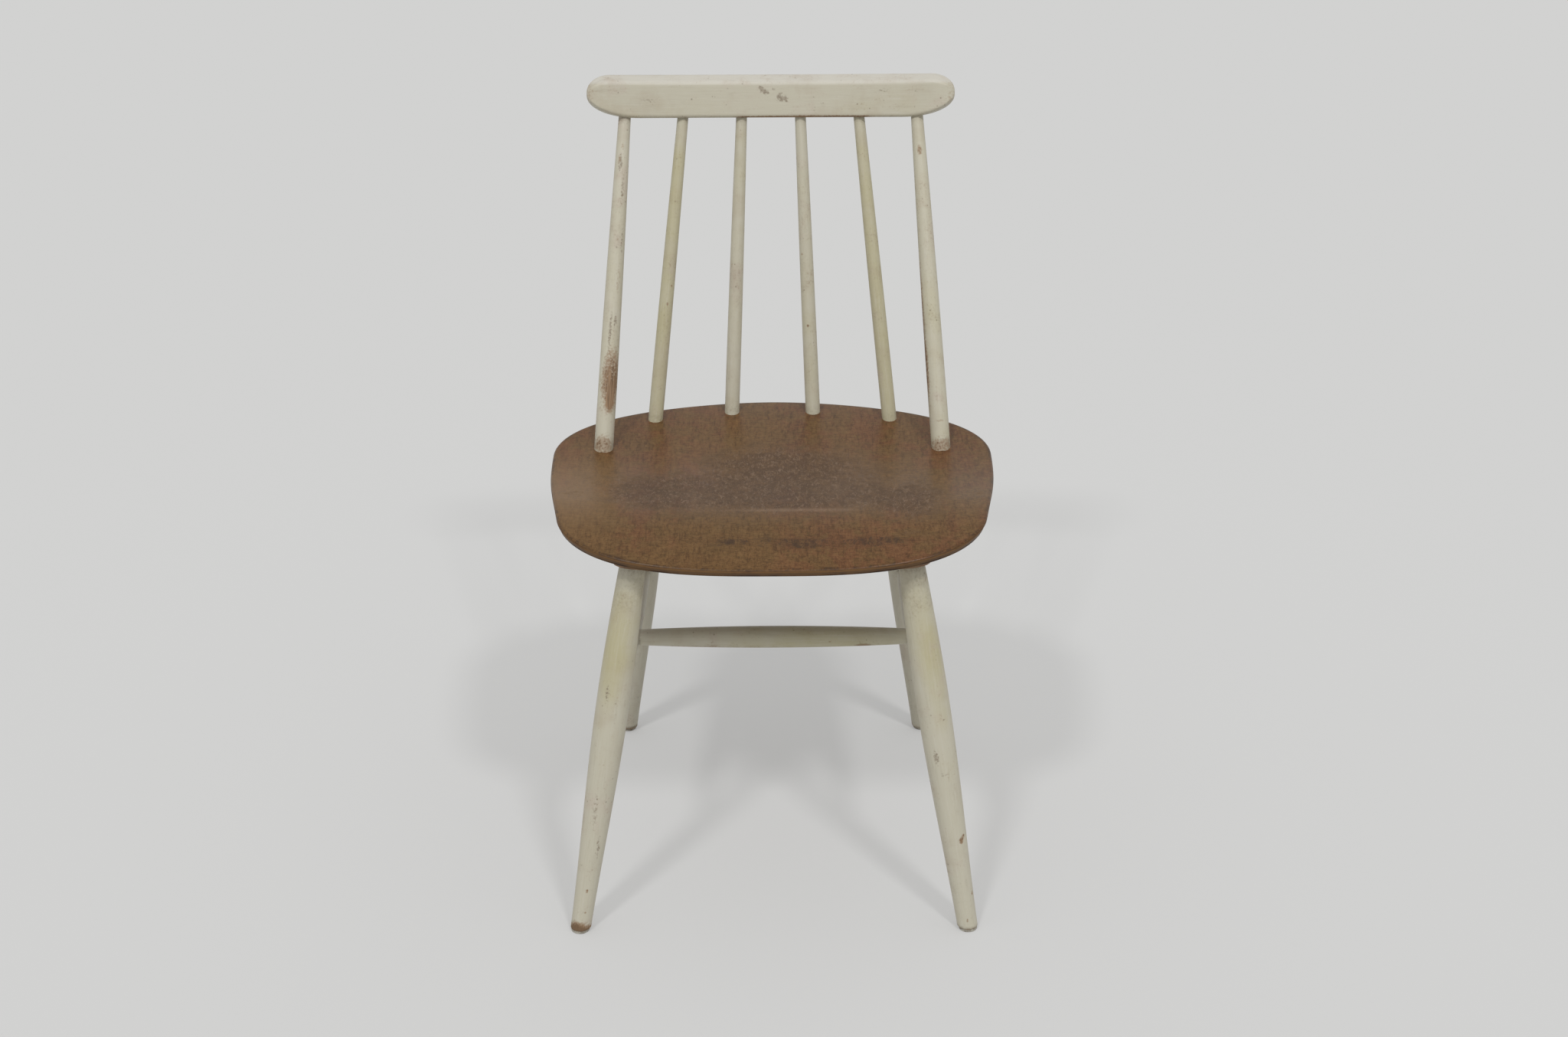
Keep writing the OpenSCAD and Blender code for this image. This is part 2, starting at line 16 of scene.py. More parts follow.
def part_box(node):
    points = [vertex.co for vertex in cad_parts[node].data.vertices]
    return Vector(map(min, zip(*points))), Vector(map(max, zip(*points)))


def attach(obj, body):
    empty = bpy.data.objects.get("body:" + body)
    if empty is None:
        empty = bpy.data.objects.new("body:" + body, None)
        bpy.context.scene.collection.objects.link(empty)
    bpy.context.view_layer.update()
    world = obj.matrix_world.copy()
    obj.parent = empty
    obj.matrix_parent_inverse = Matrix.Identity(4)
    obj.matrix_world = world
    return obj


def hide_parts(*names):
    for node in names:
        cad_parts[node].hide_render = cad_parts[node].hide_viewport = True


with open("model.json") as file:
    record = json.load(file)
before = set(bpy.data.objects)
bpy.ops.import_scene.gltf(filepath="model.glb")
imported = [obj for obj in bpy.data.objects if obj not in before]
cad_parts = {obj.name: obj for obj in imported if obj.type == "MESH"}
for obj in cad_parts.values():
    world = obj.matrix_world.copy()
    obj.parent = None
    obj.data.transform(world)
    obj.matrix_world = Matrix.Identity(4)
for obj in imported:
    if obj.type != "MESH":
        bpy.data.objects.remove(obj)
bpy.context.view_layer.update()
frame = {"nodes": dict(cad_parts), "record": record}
LOG = logging.getLogger("chair")
BODY = "root"
MM = 0.001

Triple = tuple[float, float, float]
Colour = Triple


# ---------------------------------------------------------------------------
# Small helpers
# ---------------------------------------------------------------------------


def srgb(red: float, green: float, blue: float) -> Colour:
    """Turns a display colour into the linear colour that a shader takes.

    Args:
        red: Red, 0 to 255.
        green: Green, 0 to 255.
        blue: Blue, 0 to 255.

    Returns:
        The linear colour.
    """

    def linear(value: float) -> float:
        """One channel from display to linear."""
        part = value / 255.0
        return part / 12.92 if part <= 0.04045 else ((part + 0.055) / 1.055) ** 2.4

    return linear(red), linear(green), linear(blue)


def even_steps(line: np.ndarray, count: int) -> np.ndarray:
    """Points at even steps along a closed line.

    Args:
        line: The line's points, one row each. The last is the first again.
        count: How many points to give.

    Returns:
        One row for each point.
    """
    length = np.concatenate([[0], np.cumsum(np.linalg.norm(np.diff(line, axis=0), axis=1))])
    even = np.linspace(0, length[-1], count, endpoint=False)
    return np.stack([np.interp(even, length, line[:, k]) for k in (0, 1)], -1)


def smooth(value: np.ndarray, low: float, high: float) -> np.ndarray:
    """A smooth rise from 0 at low to 1 at high."""
    part = np.clip((value - low) / (high - low), 0.0, 1.0)
    return part * part * (3.0 - 2.0 * part)


def bump_noise(points: np.ndarray, scale: float, seed: float) -> np.ndarray:
    """Smooth noise at a set of points.

    Args:
        points: Points, one row each, in metres.
        scale: How many lumps there are to a metre.
        seed: Moves the pattern, so that two pieces differ.

    Returns:
        One value for each point, about -1 to 1.
    """
    shifted = points * scale + seed
    return np.array([noise.noise(Vector(p)) for p in shifted])


def bezier(points: Sequence[Sequence[float]], share: np.ndarray) -> np.ndarray:
    """Points along a cubic curve.

    Args:
        points: The curve's four control points.
        share: How far along the curve each wanted point is, 0 to 1.

    Returns:
        One row for each share.
    """
    t = np.asarray(share, float).reshape(-1, 1)
    start, first, second, end = (np.asarray(p, float) for p in points)
    rest = 1 - t
    return rest**3 * start + 3 * rest**2 * t * first + 3 * rest * t**2 * second + t**3 * end


def ellipse_drop(part: np.ndarray) -> np.ndarray:
    """How far a quarter ellipse has fallen, 0 at its start and 1 at its end."""
    return 1 - np.sqrt(np.clip(1 - np.clip(part, 0, 1) ** 2, 0, 1))


# ---------------------------------------------------------------------------
# Shader building
# ---------------------------------------------------------------------------


class Value:
    """A number that varies over a surface: one socket of a shader, with arithmetic."""

    NOISE_MIDDLE = 0.5

    def __init__(self, graph: "Graph", socket: bpy.types.NodeSocket) -> None:
        """Wraps an output socket of a graph."""
        self.graph = graph
        self.socket = socket

    def _math(self, operation: str, *terms: "Value | float") -> "Value":
        """The result of a Math node whose sockets take the terms in order."""
        return self.graph.node("ShaderNodeMath", {"operation": operation}, dict(enumerate(terms))).value()

    def __add__(self, other: "Value | float") -> "Value":
        """Sum."""
        return self._math("ADD", self, other)

    __radd__ = __add__

    def __sub__(self, other: "Value | float") -> "Value":
        """Difference."""
        return self._math("SUBTRACT", self, other)

    def __rsub__(self, other: float) -> "Value":
        """Difference, from a number."""
        return self._math("SUBTRACT", other, self)

    def __mul__(self, other: "Value | float") -> "Value":
        """Product."""
        return self._math("MULTIPLY", self, other)

    __rmul__ = __mul__

    def at_least(self, other: "Value | float") -> "Value":
        """The larger of the two."""
        return self._math("MAXIMUM", self, other)

    def swing(self, amount: float) -> "Value":
        """How far noise is from its middle, times an amount."""
        return (self - self.NOISE_MIDDLE) * amount

    def rise(self, low: float, high: float) -> "Value":
        """A smooth rise from 0 to 1.

        Args:
            low: Where it is 0.
            high: Where it is 1. Below low, it makes a fall.

        Returns:
            The rise.
        """
        settings = {"interpolation_type": "SMOOTHSTEP"}
        sockets = {"Value": self, "From Min": low, "From Max": high}
        return self.graph.node("ShaderNodeMapRange", settings, sockets).value()


@dataclass(frozen=True)
class Tint:
    """A colour that varies over a surface."""

    graph: "Graph"
    socket: bpy.types.NodeSocket


@dataclass(frozen=True)
class Made:
    """A node that a graph has added."""

    graph: "Graph"
    node: bpy.types.Node

    def value(self, name: "str | int" = 0) -> Value:
        """One of the node's outputs, as a value."""
        return Value(self.graph, self.node.outputs[name])

    def tint(self, name: "str | int" = 0) -> Tint:
        """One of the node's outputs, as a colour or vector."""
        return Tint(self.graph, self.node.outputs[name])


class Graph:
    """The node graph of one material, or of the world."""

    # The sockets of a Mix node that mixes colours, by number, as their names repeat.
    MIX_FIRST = 6
    MIX_SECOND = 7
    MIX_RESULT = 2

    def __init__(self, holder: "bpy.types.Material | bpy.types.World") -> None:
        """Clears the graph.

        Args:
            holder: The material or world that it belongs to.
        """
        holder.use_nodes = True
        self.holder = holder
        self.tree = holder.node_tree
        self.tree.nodes.clear()

    @classmethod
    def of_material(cls, name: str) -> "Graph":
        """Starts a material with one Principled shader, joined to its output.

        Args:
            name: The material's name.

        Returns:
            The material's graph.
        """
        graph = cls(bpy.data.materials.new(name))
        shader = graph.node("ShaderNodeBsdfPrincipled")
        graph.shader = shader.node
        graph.node("ShaderNodeOutputMaterial", {}, {"Surface": shader.tint("BSDF")})
        return graph

    def node(self, kind: str, settings: dict | None = None, sockets: dict | None = None) -> Made:
        """Adds a node.

        Args:
            kind: The node's type.
            settings: Its settings, set first. "stops" holds a ramp's places and colours.
            sockets: What its sockets take, by name or number: a link or a constant.

        Returns:
            The node.
        """
        made = self.tree.nodes.new(kind)
        for name, setting in (settings or {}).items():
            if name == "stops":
                self._set_stops(made.color_ramp, setting)
            else:
                setattr(made, name, setting)
        for name, what in (sockets or {}).items():
            self._feed(made.inputs[name], what)
        return Made(self, made)

    @staticmethod
    def _set_stops(ramp: bpy.types.ColorRamp, stops: Iterable[tuple[float, Colour]]) -> None:
        """Gives a colour ramp its stops.

        Args:
            ramp: The ramp, with its first two stops already there.
            stops: Each stop's place and colour.
        """
        for number, (place, colour) in enumerate(stops):
            stop = ramp.elements[number] if number < 2 else ramp.elements.new(place)
            stop.position = place
            stop.color = (*colour, 1.0)

    def _feed(self, socket: bpy.types.NodeSocket, what: "Value | Tint | float | Colour") -> None:
        """Links a socket, or gives it a constant.

        Args:
            socket: The socket.
            what: What it takes.
        """
        if isinstance(what, (Value, Tint)):
            self.tree.links.new(what.socket, socket)
        elif isinstance(what, tuple) and socket.type == "RGBA":
            socket.default_value = (*what, 1.0)
        else:
            socket.default_value = what

    def attribute(self, name: str) -> Value:
        """A number kept on the mesh."""
        return self.node("ShaderNodeAttribute", {"attribute_name": name}).value("Fac")

    def place(self, stretch: Triple = (1.0, 1.0, 1.0)) -> Tint:
        """A piece's own coordinates in metres, as its mesh keeps them, stretched.

        Args:
            stretch: What each coordinate is multiplied by.

        Returns:
            The coordinates.
        """
        source = self.node("ShaderNodeAttribute", {"attribute_name": "grain"}).tint("Vector")
        settings = {"operation": "MULTIPLY"}
        return self.node("ShaderNodeVectorMath", settings, {0: source, 1: stretch}).tint()

    def cloud(
        self, where: Tint, scale: float, detail: float, rough: float = 0.5, warp: float = 0.0
    ) -> Value:
        """Soft noise, about 0.5 on average.

        Args:
            where: The coordinates to take it at.
            scale: How many lumps there are to a unit.
            detail: How many finer layers it has.
            rough: How strong the finer layers are.
            warp: How far it is distorted.

        Returns:
            The noise.
        """
        sockets = {"Vector": where, "Scale": scale, "Detail": detail, "Roughness": rough}
        sockets["Distortion"] = warp
        return self.node("ShaderNodeTexNoise", {}, sockets).value("Fac")

    def cells(self, where: Tint, scale: float) -> Value:
        """The distance to the nearest of many scattered points."""
        sockets = {"Vector": where, "Scale": scale, "Randomness": 1.0}
        return self.node("ShaderNodeTexVoronoi", {"feature": "F1"}, sockets).value("Distance")

    def mix(self, factor: Value, first: "Tint | Colour", second: "Tint | Colour") -> Tint:
        """Mixes two colours.

        Args:
            factor: How much of the second there is.
            first: The colour at factor 0.
            second: The colour at factor 1.

        Returns:
            The mixed colour.
        """
        sockets = {0: factor, self.MIX_FIRST: first, self.MIX_SECOND: second}
        return self.node("ShaderNodeMix", {"data_type": "RGBA"}, sockets).tint(self.MIX_RESULT)

    def ramp(self, value: Value, stops: Iterable[tuple[float, Colour]]) -> Tint:
        """Colours by value."""
        return self.node("ShaderNodeValToRGB", {"stops": stops}, {0: value}).tint()

    def surface(self, base: Tint, rough: Value, height: Value, depth: float, **constants: float) -> None:
        """Dresses the shader.

        Args:
            base: Its colour.
            rough: Its roughness.
            height: Its relief, 0 to 1.
            depth: How deep that relief is, in metres.
            constants: Other sockets, by name with underscores for spaces.
        """
        self._feed(self.shader.inputs["Base Color"], base)
        self._feed(self.shader.inputs["Roughness"], rough)
        relief = self.node("ShaderNodeBump", {}, {"Height": height, "Distance": depth, "Strength": 1.0})
        self._feed(self.shader.inputs["Normal"], relief.tint("Normal"))
        for name, number in constants.items():
            self.shader.inputs[name.replace("_", " ")].default_value = number


# ---------------------------------------------------------------------------
# Finishes
# ---------------------------------------------------------------------------


@dataclass(frozen=True)
class AgedCreamPaint:
    """Old cream paint on turned beech: yellowed, scuffed, and worn through in places."""

    name: str = "aged_cream_paint"
    cream: Colour = srgb(187, 182, 164)
    yellowed: Colour = srgb(177, 170, 137)
    blush: Colour = srgb(184, 173, 158)
    # chalk is also the colour of painted light, where the age value is below zero.
    chalk_and_painted_light: Colour = srgb(199, 195, 184)
    scuffed: Colour = srgb(139, 129, 112)
    scraped: Colour = srgb(152, 142, 125)
    rubbed: Colour = srgb(124, 111, 94)
    # dirt is also the colour of the painted shade at the joints and under the seat, which the grime value
    # carries.
    dirt: Colour = srgb(100, 87, 68)
    stain: Colour = srgb(128, 103, 72)
    thin: Colour = srgb(152, 131, 108)
    bare: Colour = srgb(149, 122, 94)
    bare_dark: Colour = srgb(108, 85, 63)
    relief: float = 0.22 * MM

    def build(self) -> bpy.types.Material:
        """Builds the material.

        Returns:
            The material. It reads the mesh's grain, wear, scrape, grime, brown and age values. The grime
            value also holds painted shade at the joints and under the seat, and an age value below zero
            holds painted light.
        """
        graph = Graph.of_material(self.name)
        even = graph.place()
        broad = graph.cloud(even, 9.0, 2.0)
        patchy = graph.cloud(even, 42.0, 4.0, 0.6)
        fine = graph.cloud(even, 380.0, 4.0, 0.65)
        brush = graph.cloud(graph.place((1.0, 1.0, 0.05)), 560.0, 4.0, 0.6)
        rubs = graph.cloud(graph.place((1.0, 1.0, 0.14)), 150.0, 5.0, 0.7)
        base = self._coat(graph, broad, patchy, brush, rubs)
        base, soil_and_shade = self._soil_and_shade(graph, base, patchy, fine)
        scrape = graph.attribute("scrape")
        scraped = (scrape + fine.swing(2.2)).rise(0.2, 0.85) * scrape.rise(0.02, 0.3)
        scraping = graph.mix(fine.rise(0.44, 0.58), self.scraped, self.rubbed)
        base = graph.mix(scraped * 0.8, base, scraping)
        wear = graph.attribute("wear") + patchy.swing(0.6) + fine.swing(1.3) + rubs.swing(0.5)
        thinned = wear.rise(0.12, 0.55)
        worn = wear.rise(0.5, 0.78)
        chips = graph.cells(graph.place((1.0, 1.0, 0.6)), 38.0).rise(0.085, 0.05) * fine.rise(0.4, 0.5)
        worn = worn.at_least(chips * broad.rise(0.6, 0.66))
        fibre = graph.cloud(graph.place((1.0, 1.0, 0.05)), 700.0, 3.0, 0.6)
        wood = graph.mix(fibre.rise(0.35, 0.7), self.bare, self.bare_dark)
        wood = graph.mix(graph.attribute("grime_and_shade").rise(0.2, 1.0) * 0.85, wood, self.bare_dark)
        base = graph.mix(thinned * 0.8, base, self.thin)
        base = graph.mix(worn, base, wood)
        rough = 0.44 + patchy * 0.14 + worn * 0.2 + soil_and_shade * 0.12
        height = brush * 0.34 + fine * 0.2 + (1 - worn) * 0.5
        graph.surface(base, rough, height, self.relief, Specular_IOR_Level=0.4)
        return graph.holder

    def _coat(self, graph: Graph, broad: Value, patchy: Value, brush: Value, rubs: Value) -> Tint:
        """The paint itself, before dirt and wear.

        Args:
            graph: The material's graph.
            broad: Slow noise, for patches a hand wide.
            patchy: Noise for patches a finger wide.
            brush: Fine streaks along the piece.
            rubs: Coarser streaks along the piece.

        Returns:
            The colour.
        """
        aged = graph.attribute("age") + broad.swing(1.3) + patchy.swing(0.9)
        paint = graph.mix(aged.rise(0.0, 1.2), self.cream, self.yellowed)
        # Below zero, the age value turns the paint to chalk. This paints light on the rear legs, which
        # stand in the seat's shadow, and a highlight along the crest rail's top.
        paint = graph.mix(graph.attribute("age").rise(0.0, -0.6), paint, self.chalk_and_painted_light)
        paint = graph.mix(patchy.rise(0.48, 0.72) * broad.rise(0.62, 0.38) * 0.7, paint, self.blush)
        paint = graph.mix(brush.rise(0.5, 0.25) * 0.3, paint, self.chalk_and_painted_light)
        paint = graph.mix(brush.rise(0.52, 0.78) * 0.12, paint, self.scuffed)
        cloudy = graph.cloud(graph.place(), 24.0, 5.0, 0.62).rise(0.5, 0.68)
        paint = graph.mix(cloudy * 0.16, paint, self.thin)
        return graph.mix(rubs.rise(0.55, 0.75) * 0.22, paint, self.scuffed)

    def _soil_and_shade(self, graph: Graph, paint: Tint, patchy: Value, fine: Value) -> tuple[Tint, Value]:
        """Adds specks, grime with painted shade, and brown stains.

        Args:
            graph: The material's graph.
            paint: The clean colour.
            patchy: Noise for patches a finger wide.
            fine: Noise a few millimetres wide.

        Returns:
            The soiled colour with its painted shade, and how strong the grime and painted shade are.
        """
        specks = graph.cells(graph.place(), 120.0).rise(0.15, 0.07) * patchy.rise(0.5, 0.62)
        paint = graph.mix(specks * 0.55, paint, self.dirt)
        # The grime value holds dirt and also painted shade: rings at the joints and a band under the
        # seat.
        grime_and_shade = graph.attribute("grime_and_shade") + patchy.swing(0.6) + fine.swing(0.9)
        soil_and_shade = grime_and_shade.rise(0.15, 1.15)
        paint = graph.mix(soil_and_shade * 0.8, paint, self.dirt)
        stained = graph.attribute("brown") + patchy.swing(0.9) + fine.swing(0.7)
        return graph.mix(stained.rise(0.15, 1.1) * 0.8, paint, self.stain), soil_and_shade


@dataclass(frozen=True)
class VeneerNoise:
    """Noise at the veneer's several sizes.

    Attributes:
        mottle: Patches a finger wide.
        grit: Fine specks.
        streak: Streaks from side to side.
        cross: Streaks from front to back.
        pore: Thin pores from side to side.
        clot: Clots a few millimetres wide.
    """

    mottle: Value
    grit: Value
    streak: Value
    cross: Value
    pore: Value
    clot: Value

    @classmethod
    def of(cls, graph: Graph) -> "VeneerNoise":
        """Adds the noises to a graph.

        Args:
            graph: The material's graph.

        Returns:
            The noises.
        """
        return cls(
            mottle=graph.cloud(graph.place(), 38.0, 6.0, 0.72),
            grit=graph.cloud(graph.place((1.0, 0.45, 1.0)), 330.0, 6.0, 0.85),
            streak=graph.cloud(graph.place((0.4, 1.0, 0.3)), 260.0, 6.0, 0.8),
            cross=graph.cloud(graph.place((1.0, 0.16, 1.0)), 260.0, 6.0, 0.8),
            pore=graph.cloud(graph.place((0.12, 1.0, 0.3)), 1300.0, 3.0, 0.7),
            clot=graph.cloud(graph.place((1.0, 0.5, 1.0)), 125.0, 6.0, 0.82),
        )


@dataclass(frozen=True)
class ScuffedVeneer:
    """Brown veneer on plywood, satin, with its middle scuffed grey."""

    name: str = "scuffed_veneer"
    brown: Colour = srgb(106, 78, 47)
    olive: Colour = srgb(102, 77, 46)
    red: Colour = srgb(110, 74, 48)
    deep: Colour = srgb(62, 42, 25)
    # light is also the colour of the painted highlight towards the sides.
    light: Colour = srgb(134, 104, 68)
    grey: Colour = srgb(94, 74, 59)
    # dusk is also the colour of the painted shade band along the front roll.
    dusk: Colour = srgb(58, 43, 34)
    # pale is also the colour of the painted reflection band and patches.
    pale: Colour = srgb(144, 121, 101)
    edge_light: Colour = srgb(106, 78, 50)
    edge_dark: Colour = srgb(52, 36, 24)
    back_light: Colour = srgb(104, 76, 50)
    back_dark: Colour = srgb(70, 50, 34)
    relief: float = 0.08 * MM

    def build(self) -> bpy.types.Material:
        """Builds the material.

        Returns:
            The material. It reads the mesh's grain, scuff, rim, depth and under values, and three values
            of painted light:
            a painted highlight towards the sides, a pale band of painted reflection, and dark smudges
            with painted shade.
        """
        graph = Graph.of_material(self.name)
        noises = VeneerNoise.of(graph)
        top = self._figure(graph, noises)
        top, film, reflection_band = self._scuffs(graph, noises, top)
        rim, under = graph.attribute("rim"), graph.attribute("under")
        base = graph.mix(rim, top, self._layers(graph))
        back = graph.mix(noises.streak.rise(0.4, 0.7) * 0.7, self.back_light, self.back_dark)
        base = graph.mix(under, base, back)
        rough = 0.25 + film * 0.2 + reflection_band * 0.1 + noises.grit * 0.12 + under * 0.3 + rim * 0.15
        height = noises.pore * 0.3 + noises.streak * 0.4 + noises.grit * 0.3
        graph.surface(base, rough, height, self.relief, Specular_IOR_Level=0.16)
        return graph.holder

    def _figure(self, graph: Graph, noises: VeneerNoise) -> Tint:
        """The veneer's own figure, with a painted highlight towards its sides.

        Args:
            graph: The material's graph.
            noises: The veneer's noises.

        Returns:
            The colour.
        """
        grit, streak, cross = noises.grit, noises.streak, noises.cross
        broad = graph.cloud(graph.place(), 5.0, 3.0)
        boards = graph.cloud(graph.place((1.0, 0.12, 1.0)), 20.0, 3.0, 0.6)
        top = graph.mix((broad * 0.4 + boards * 0.6).rise(0.42, 0.56), self.red, self.brown)
        top = graph.mix(boards.rise(0.5, 0.38) * 0.16, top, self.deep)
        top = graph.mix(noises.mottle.rise(0.44, 0.58) * 0.8, top, self.olive)
        top = graph.mix(streak.rise(0.48, 0.64) * 0.2, top, self.light)
        top = graph.mix(cross.rise(0.5, 0.66) * 0.24, top, self.light)
        top = graph.mix(grit.rise(0.5, 0.66) * 0.26, top, self.light)
        top = graph.mix(streak.rise(0.5, 0.38) * 0.26, top, self.deep)
        top = graph.mix(cross.rise(0.5, 0.38) * 0.46, top, self.deep)
        top = graph.mix(grit.rise(0.49, 0.37) * 0.45, top, self.deep)
        top = graph.mix(noises.pore.rise(0.54, 0.64) * 0.5, top, self.edge_dark)
        # A painted highlight towards the left and right sides, in the light colour.
        side_highlit = (graph.attribute("side_highlight") + noises.mottle.swing(0.8)).rise(0.0, 1.0)
        return graph.mix(side_highlit * 0.45, top, self.light)

    def _scuffs(self, graph: Graph, noises: VeneerNoise, top: Tint) -> tuple[Tint, Value, Value]:
        """Adds the grey scuffed middle, the pale band of painted reflection, and the dark smudges with a
        painted shade band along the front roll and a darker rim.

        Args:
            graph: The material's graph.
            noises: The veneer's noises.
            top: The veneer's own colour.

        Returns:
            The colour, how scuffed it is, and how strong the pale band of painted reflection is.
        """
        mottle, grit, cross, clot = noises.mottle, noises.grit, noises.cross, noises.clot
        scuff = graph.attribute("scuff")
        film = (scuff + mottle.swing(2.2) + cross.swing(0.8) + grit.swing(1.0)).rise(0.2, 0.8)
        top = graph.mix(film * 0.55, top, self.grey)
        clotted = clot + (scuff - 0.6) * 0.12 + grit.swing(0.7) + cross.swing(0.5)
        top = graph.mix(clotted.rise(0.48, 0.56) * scuff.rise(0.05, 0.8) * 0.4, top, self.dusk)
        scratch = graph.cloud(graph.place((1.0, 0.35, 1.0)), 230.0, 6.0, 0.85, 1.4).rise(0.52, 0.6)
        top = graph.mix(scratch * scuff.rise(0.1, 0.8) * 0.45, top, self.pale)
        # The pale values paint a reflection: a thin band where the front roll meets the dish, and softer
        # patches.
        reflection_band = (graph.attribute("pale") + mottle.swing(1.2) + grit.swing(1.6)).rise(0.3, 1.1)
        top = graph.mix(reflection_band * 0.5, top, self.pale)
        # From the smudge values: dark smudges, a painted shade band along the front roll, and a darker
        # rim.
        smudge_and_shade = graph.attribute("smudge_and_shade")
        smudge_and_shade_mask = (smudge_and_shade + mottle.swing(2.4) + cross.swing(2.4) + grit.swing(3.0)).rise(0.3, 0.8)
        smudge_and_shade_mask = smudge_and_shade_mask * smudge_and_shade.rise(0.0, 0.6) * (clot.rise(0.44, 0.54) * 0.7 + 0.3)
        return graph.mix(smudge_and_shade_mask * 0.75, top, self.dusk), film, reflection_band

    def _layers(self, graph: Graph) -> Tint:
        """The plywood's glued layers, as they show at its edge.

        Args:
            graph: The material's graph.

        Returns:
            The edge's colour.
        """
        stops = [
            (0.0, self.brown),
            (0.14, self.back_dark),
            (0.22, self.edge_light),
            (0.38, self.edge_light),
            (0.44, self.back_dark),
            (0.52, self.edge_light),
            (0.68, self.back_dark),
            (0.8, self.edge_dark),
            (1.0, self.edge_dark),
        ]
        plies = graph.ramp(graph.attribute("depth"), stops)
        fibre = graph.cloud(graph.place((0.3, 0.3, 1.0)), 600.0, 3.0, 0.6)
        dirt = graph.cloud(graph.place(), 30.0, 3.0, 0.6)
        worn = graph.mix(fibre.rise(0.4, 0.8) * 0.5, plies, self.edge_dark)
        return graph.mix(dirt.rise(0.4, 0.6) * 0.6, worn, self.brown)


@dataclass(frozen=True)
class StainedBeech:
    """Plain brown-stained wood, for the boards under the seat."""

    name: str = "stained_beech"
    light: Colour = srgb(150, 116, 82)
    dark: Colour = srgb(104, 76, 52)
    relief: float = 0.2 * MM

    def build(self) -> bpy.types.Material:
        """Builds the material.

        Returns:
            The material. It reads the mesh's grain value.
        """
        graph = Graph.of_material(self.name)
        streak = graph.cloud(graph.place((0.06, 1.0, 1.0)), 240.0, 4.0, 0.6)
        cloudy = graph.cloud(graph.place(), 18.0, 4.0, 0.6)
        fleck = graph.cells(graph.place((0.25, 1.0, 1.0)), 320.0).rise(0.3, 0.12)
        base = graph.mix(streak.rise(0.3, 0.75), self.light, self.dark)
        base = graph.mix(cloudy.rise(0.5, 0.8) * 0.4, base, self.dark)
        base = graph.mix(fleck * 0.3, base, self.dark)
        graph.surface(base, 0.55 + cloudy * 0.15, streak, self.relief)
        return graph.holder


@dataclass(frozen=True)
class DullZinc:
    """Dull zinc plating on the screws."""

    name: str = "dull_zinc"
    bright: Colour = srgb(172, 170, 162)
    dull: Colour = srgb(112, 106, 96)
    relief: float = 0.1 * MM

    def build(self) -> bpy.types.Material:
        """Builds the material.

        Returns:
            The material. It reads nothing from the mesh.
        """
        graph = Graph.of_material(self.name)
        where = graph.node("ShaderNodeTexCoord").tint("Object")
        spots = graph.cloud(where, 700.0, 4.0, 0.6)
        base = graph.mix(spots.rise(0.4, 0.7), self.bright, self.dull)
        graph.surface(base, 0.32 + spots * 0.25, spots, self.relief, Metallic=0.9)
        return graph.holder


@dataclass(frozen=True)
class WornGlide:
    """Grey-brown plastic, scratched and dirty from the floor."""

    name: str = "worn_glide"
    clean: Colour = srgb(176, 172, 160)
    dirty: Colour = srgb(118, 110, 96)
    relief: float = 0.2 * MM

    def build(self) -> bpy.types.Material:
        """Builds the material.

        Returns:
            The material. It reads the mesh's grain value.
        """
        graph = Graph.of_material(self.name)
        patch = graph.cloud(graph.place(), 260.0, 4.0, 0.65)
        scratch = graph.cloud(graph.place((1.0, 1.0, 8.0)), 500.0, 3.0, 0.6)
        base = graph.mix(patch.rise(0.35, 0.7), self.clean, self.dirty)
        graph.surface(base, 0.45 + scratch * 0.25, scratch, self.relief)
        return graph.holder


class Finish(Enum):
    """The chair's finishes."""

    PAINT = AgedCreamPaint()
    VENEER = ScuffedVeneer()
    BEECH = StainedBeech()
    ZINC = DullZinc()
    GLIDE = WornGlide()


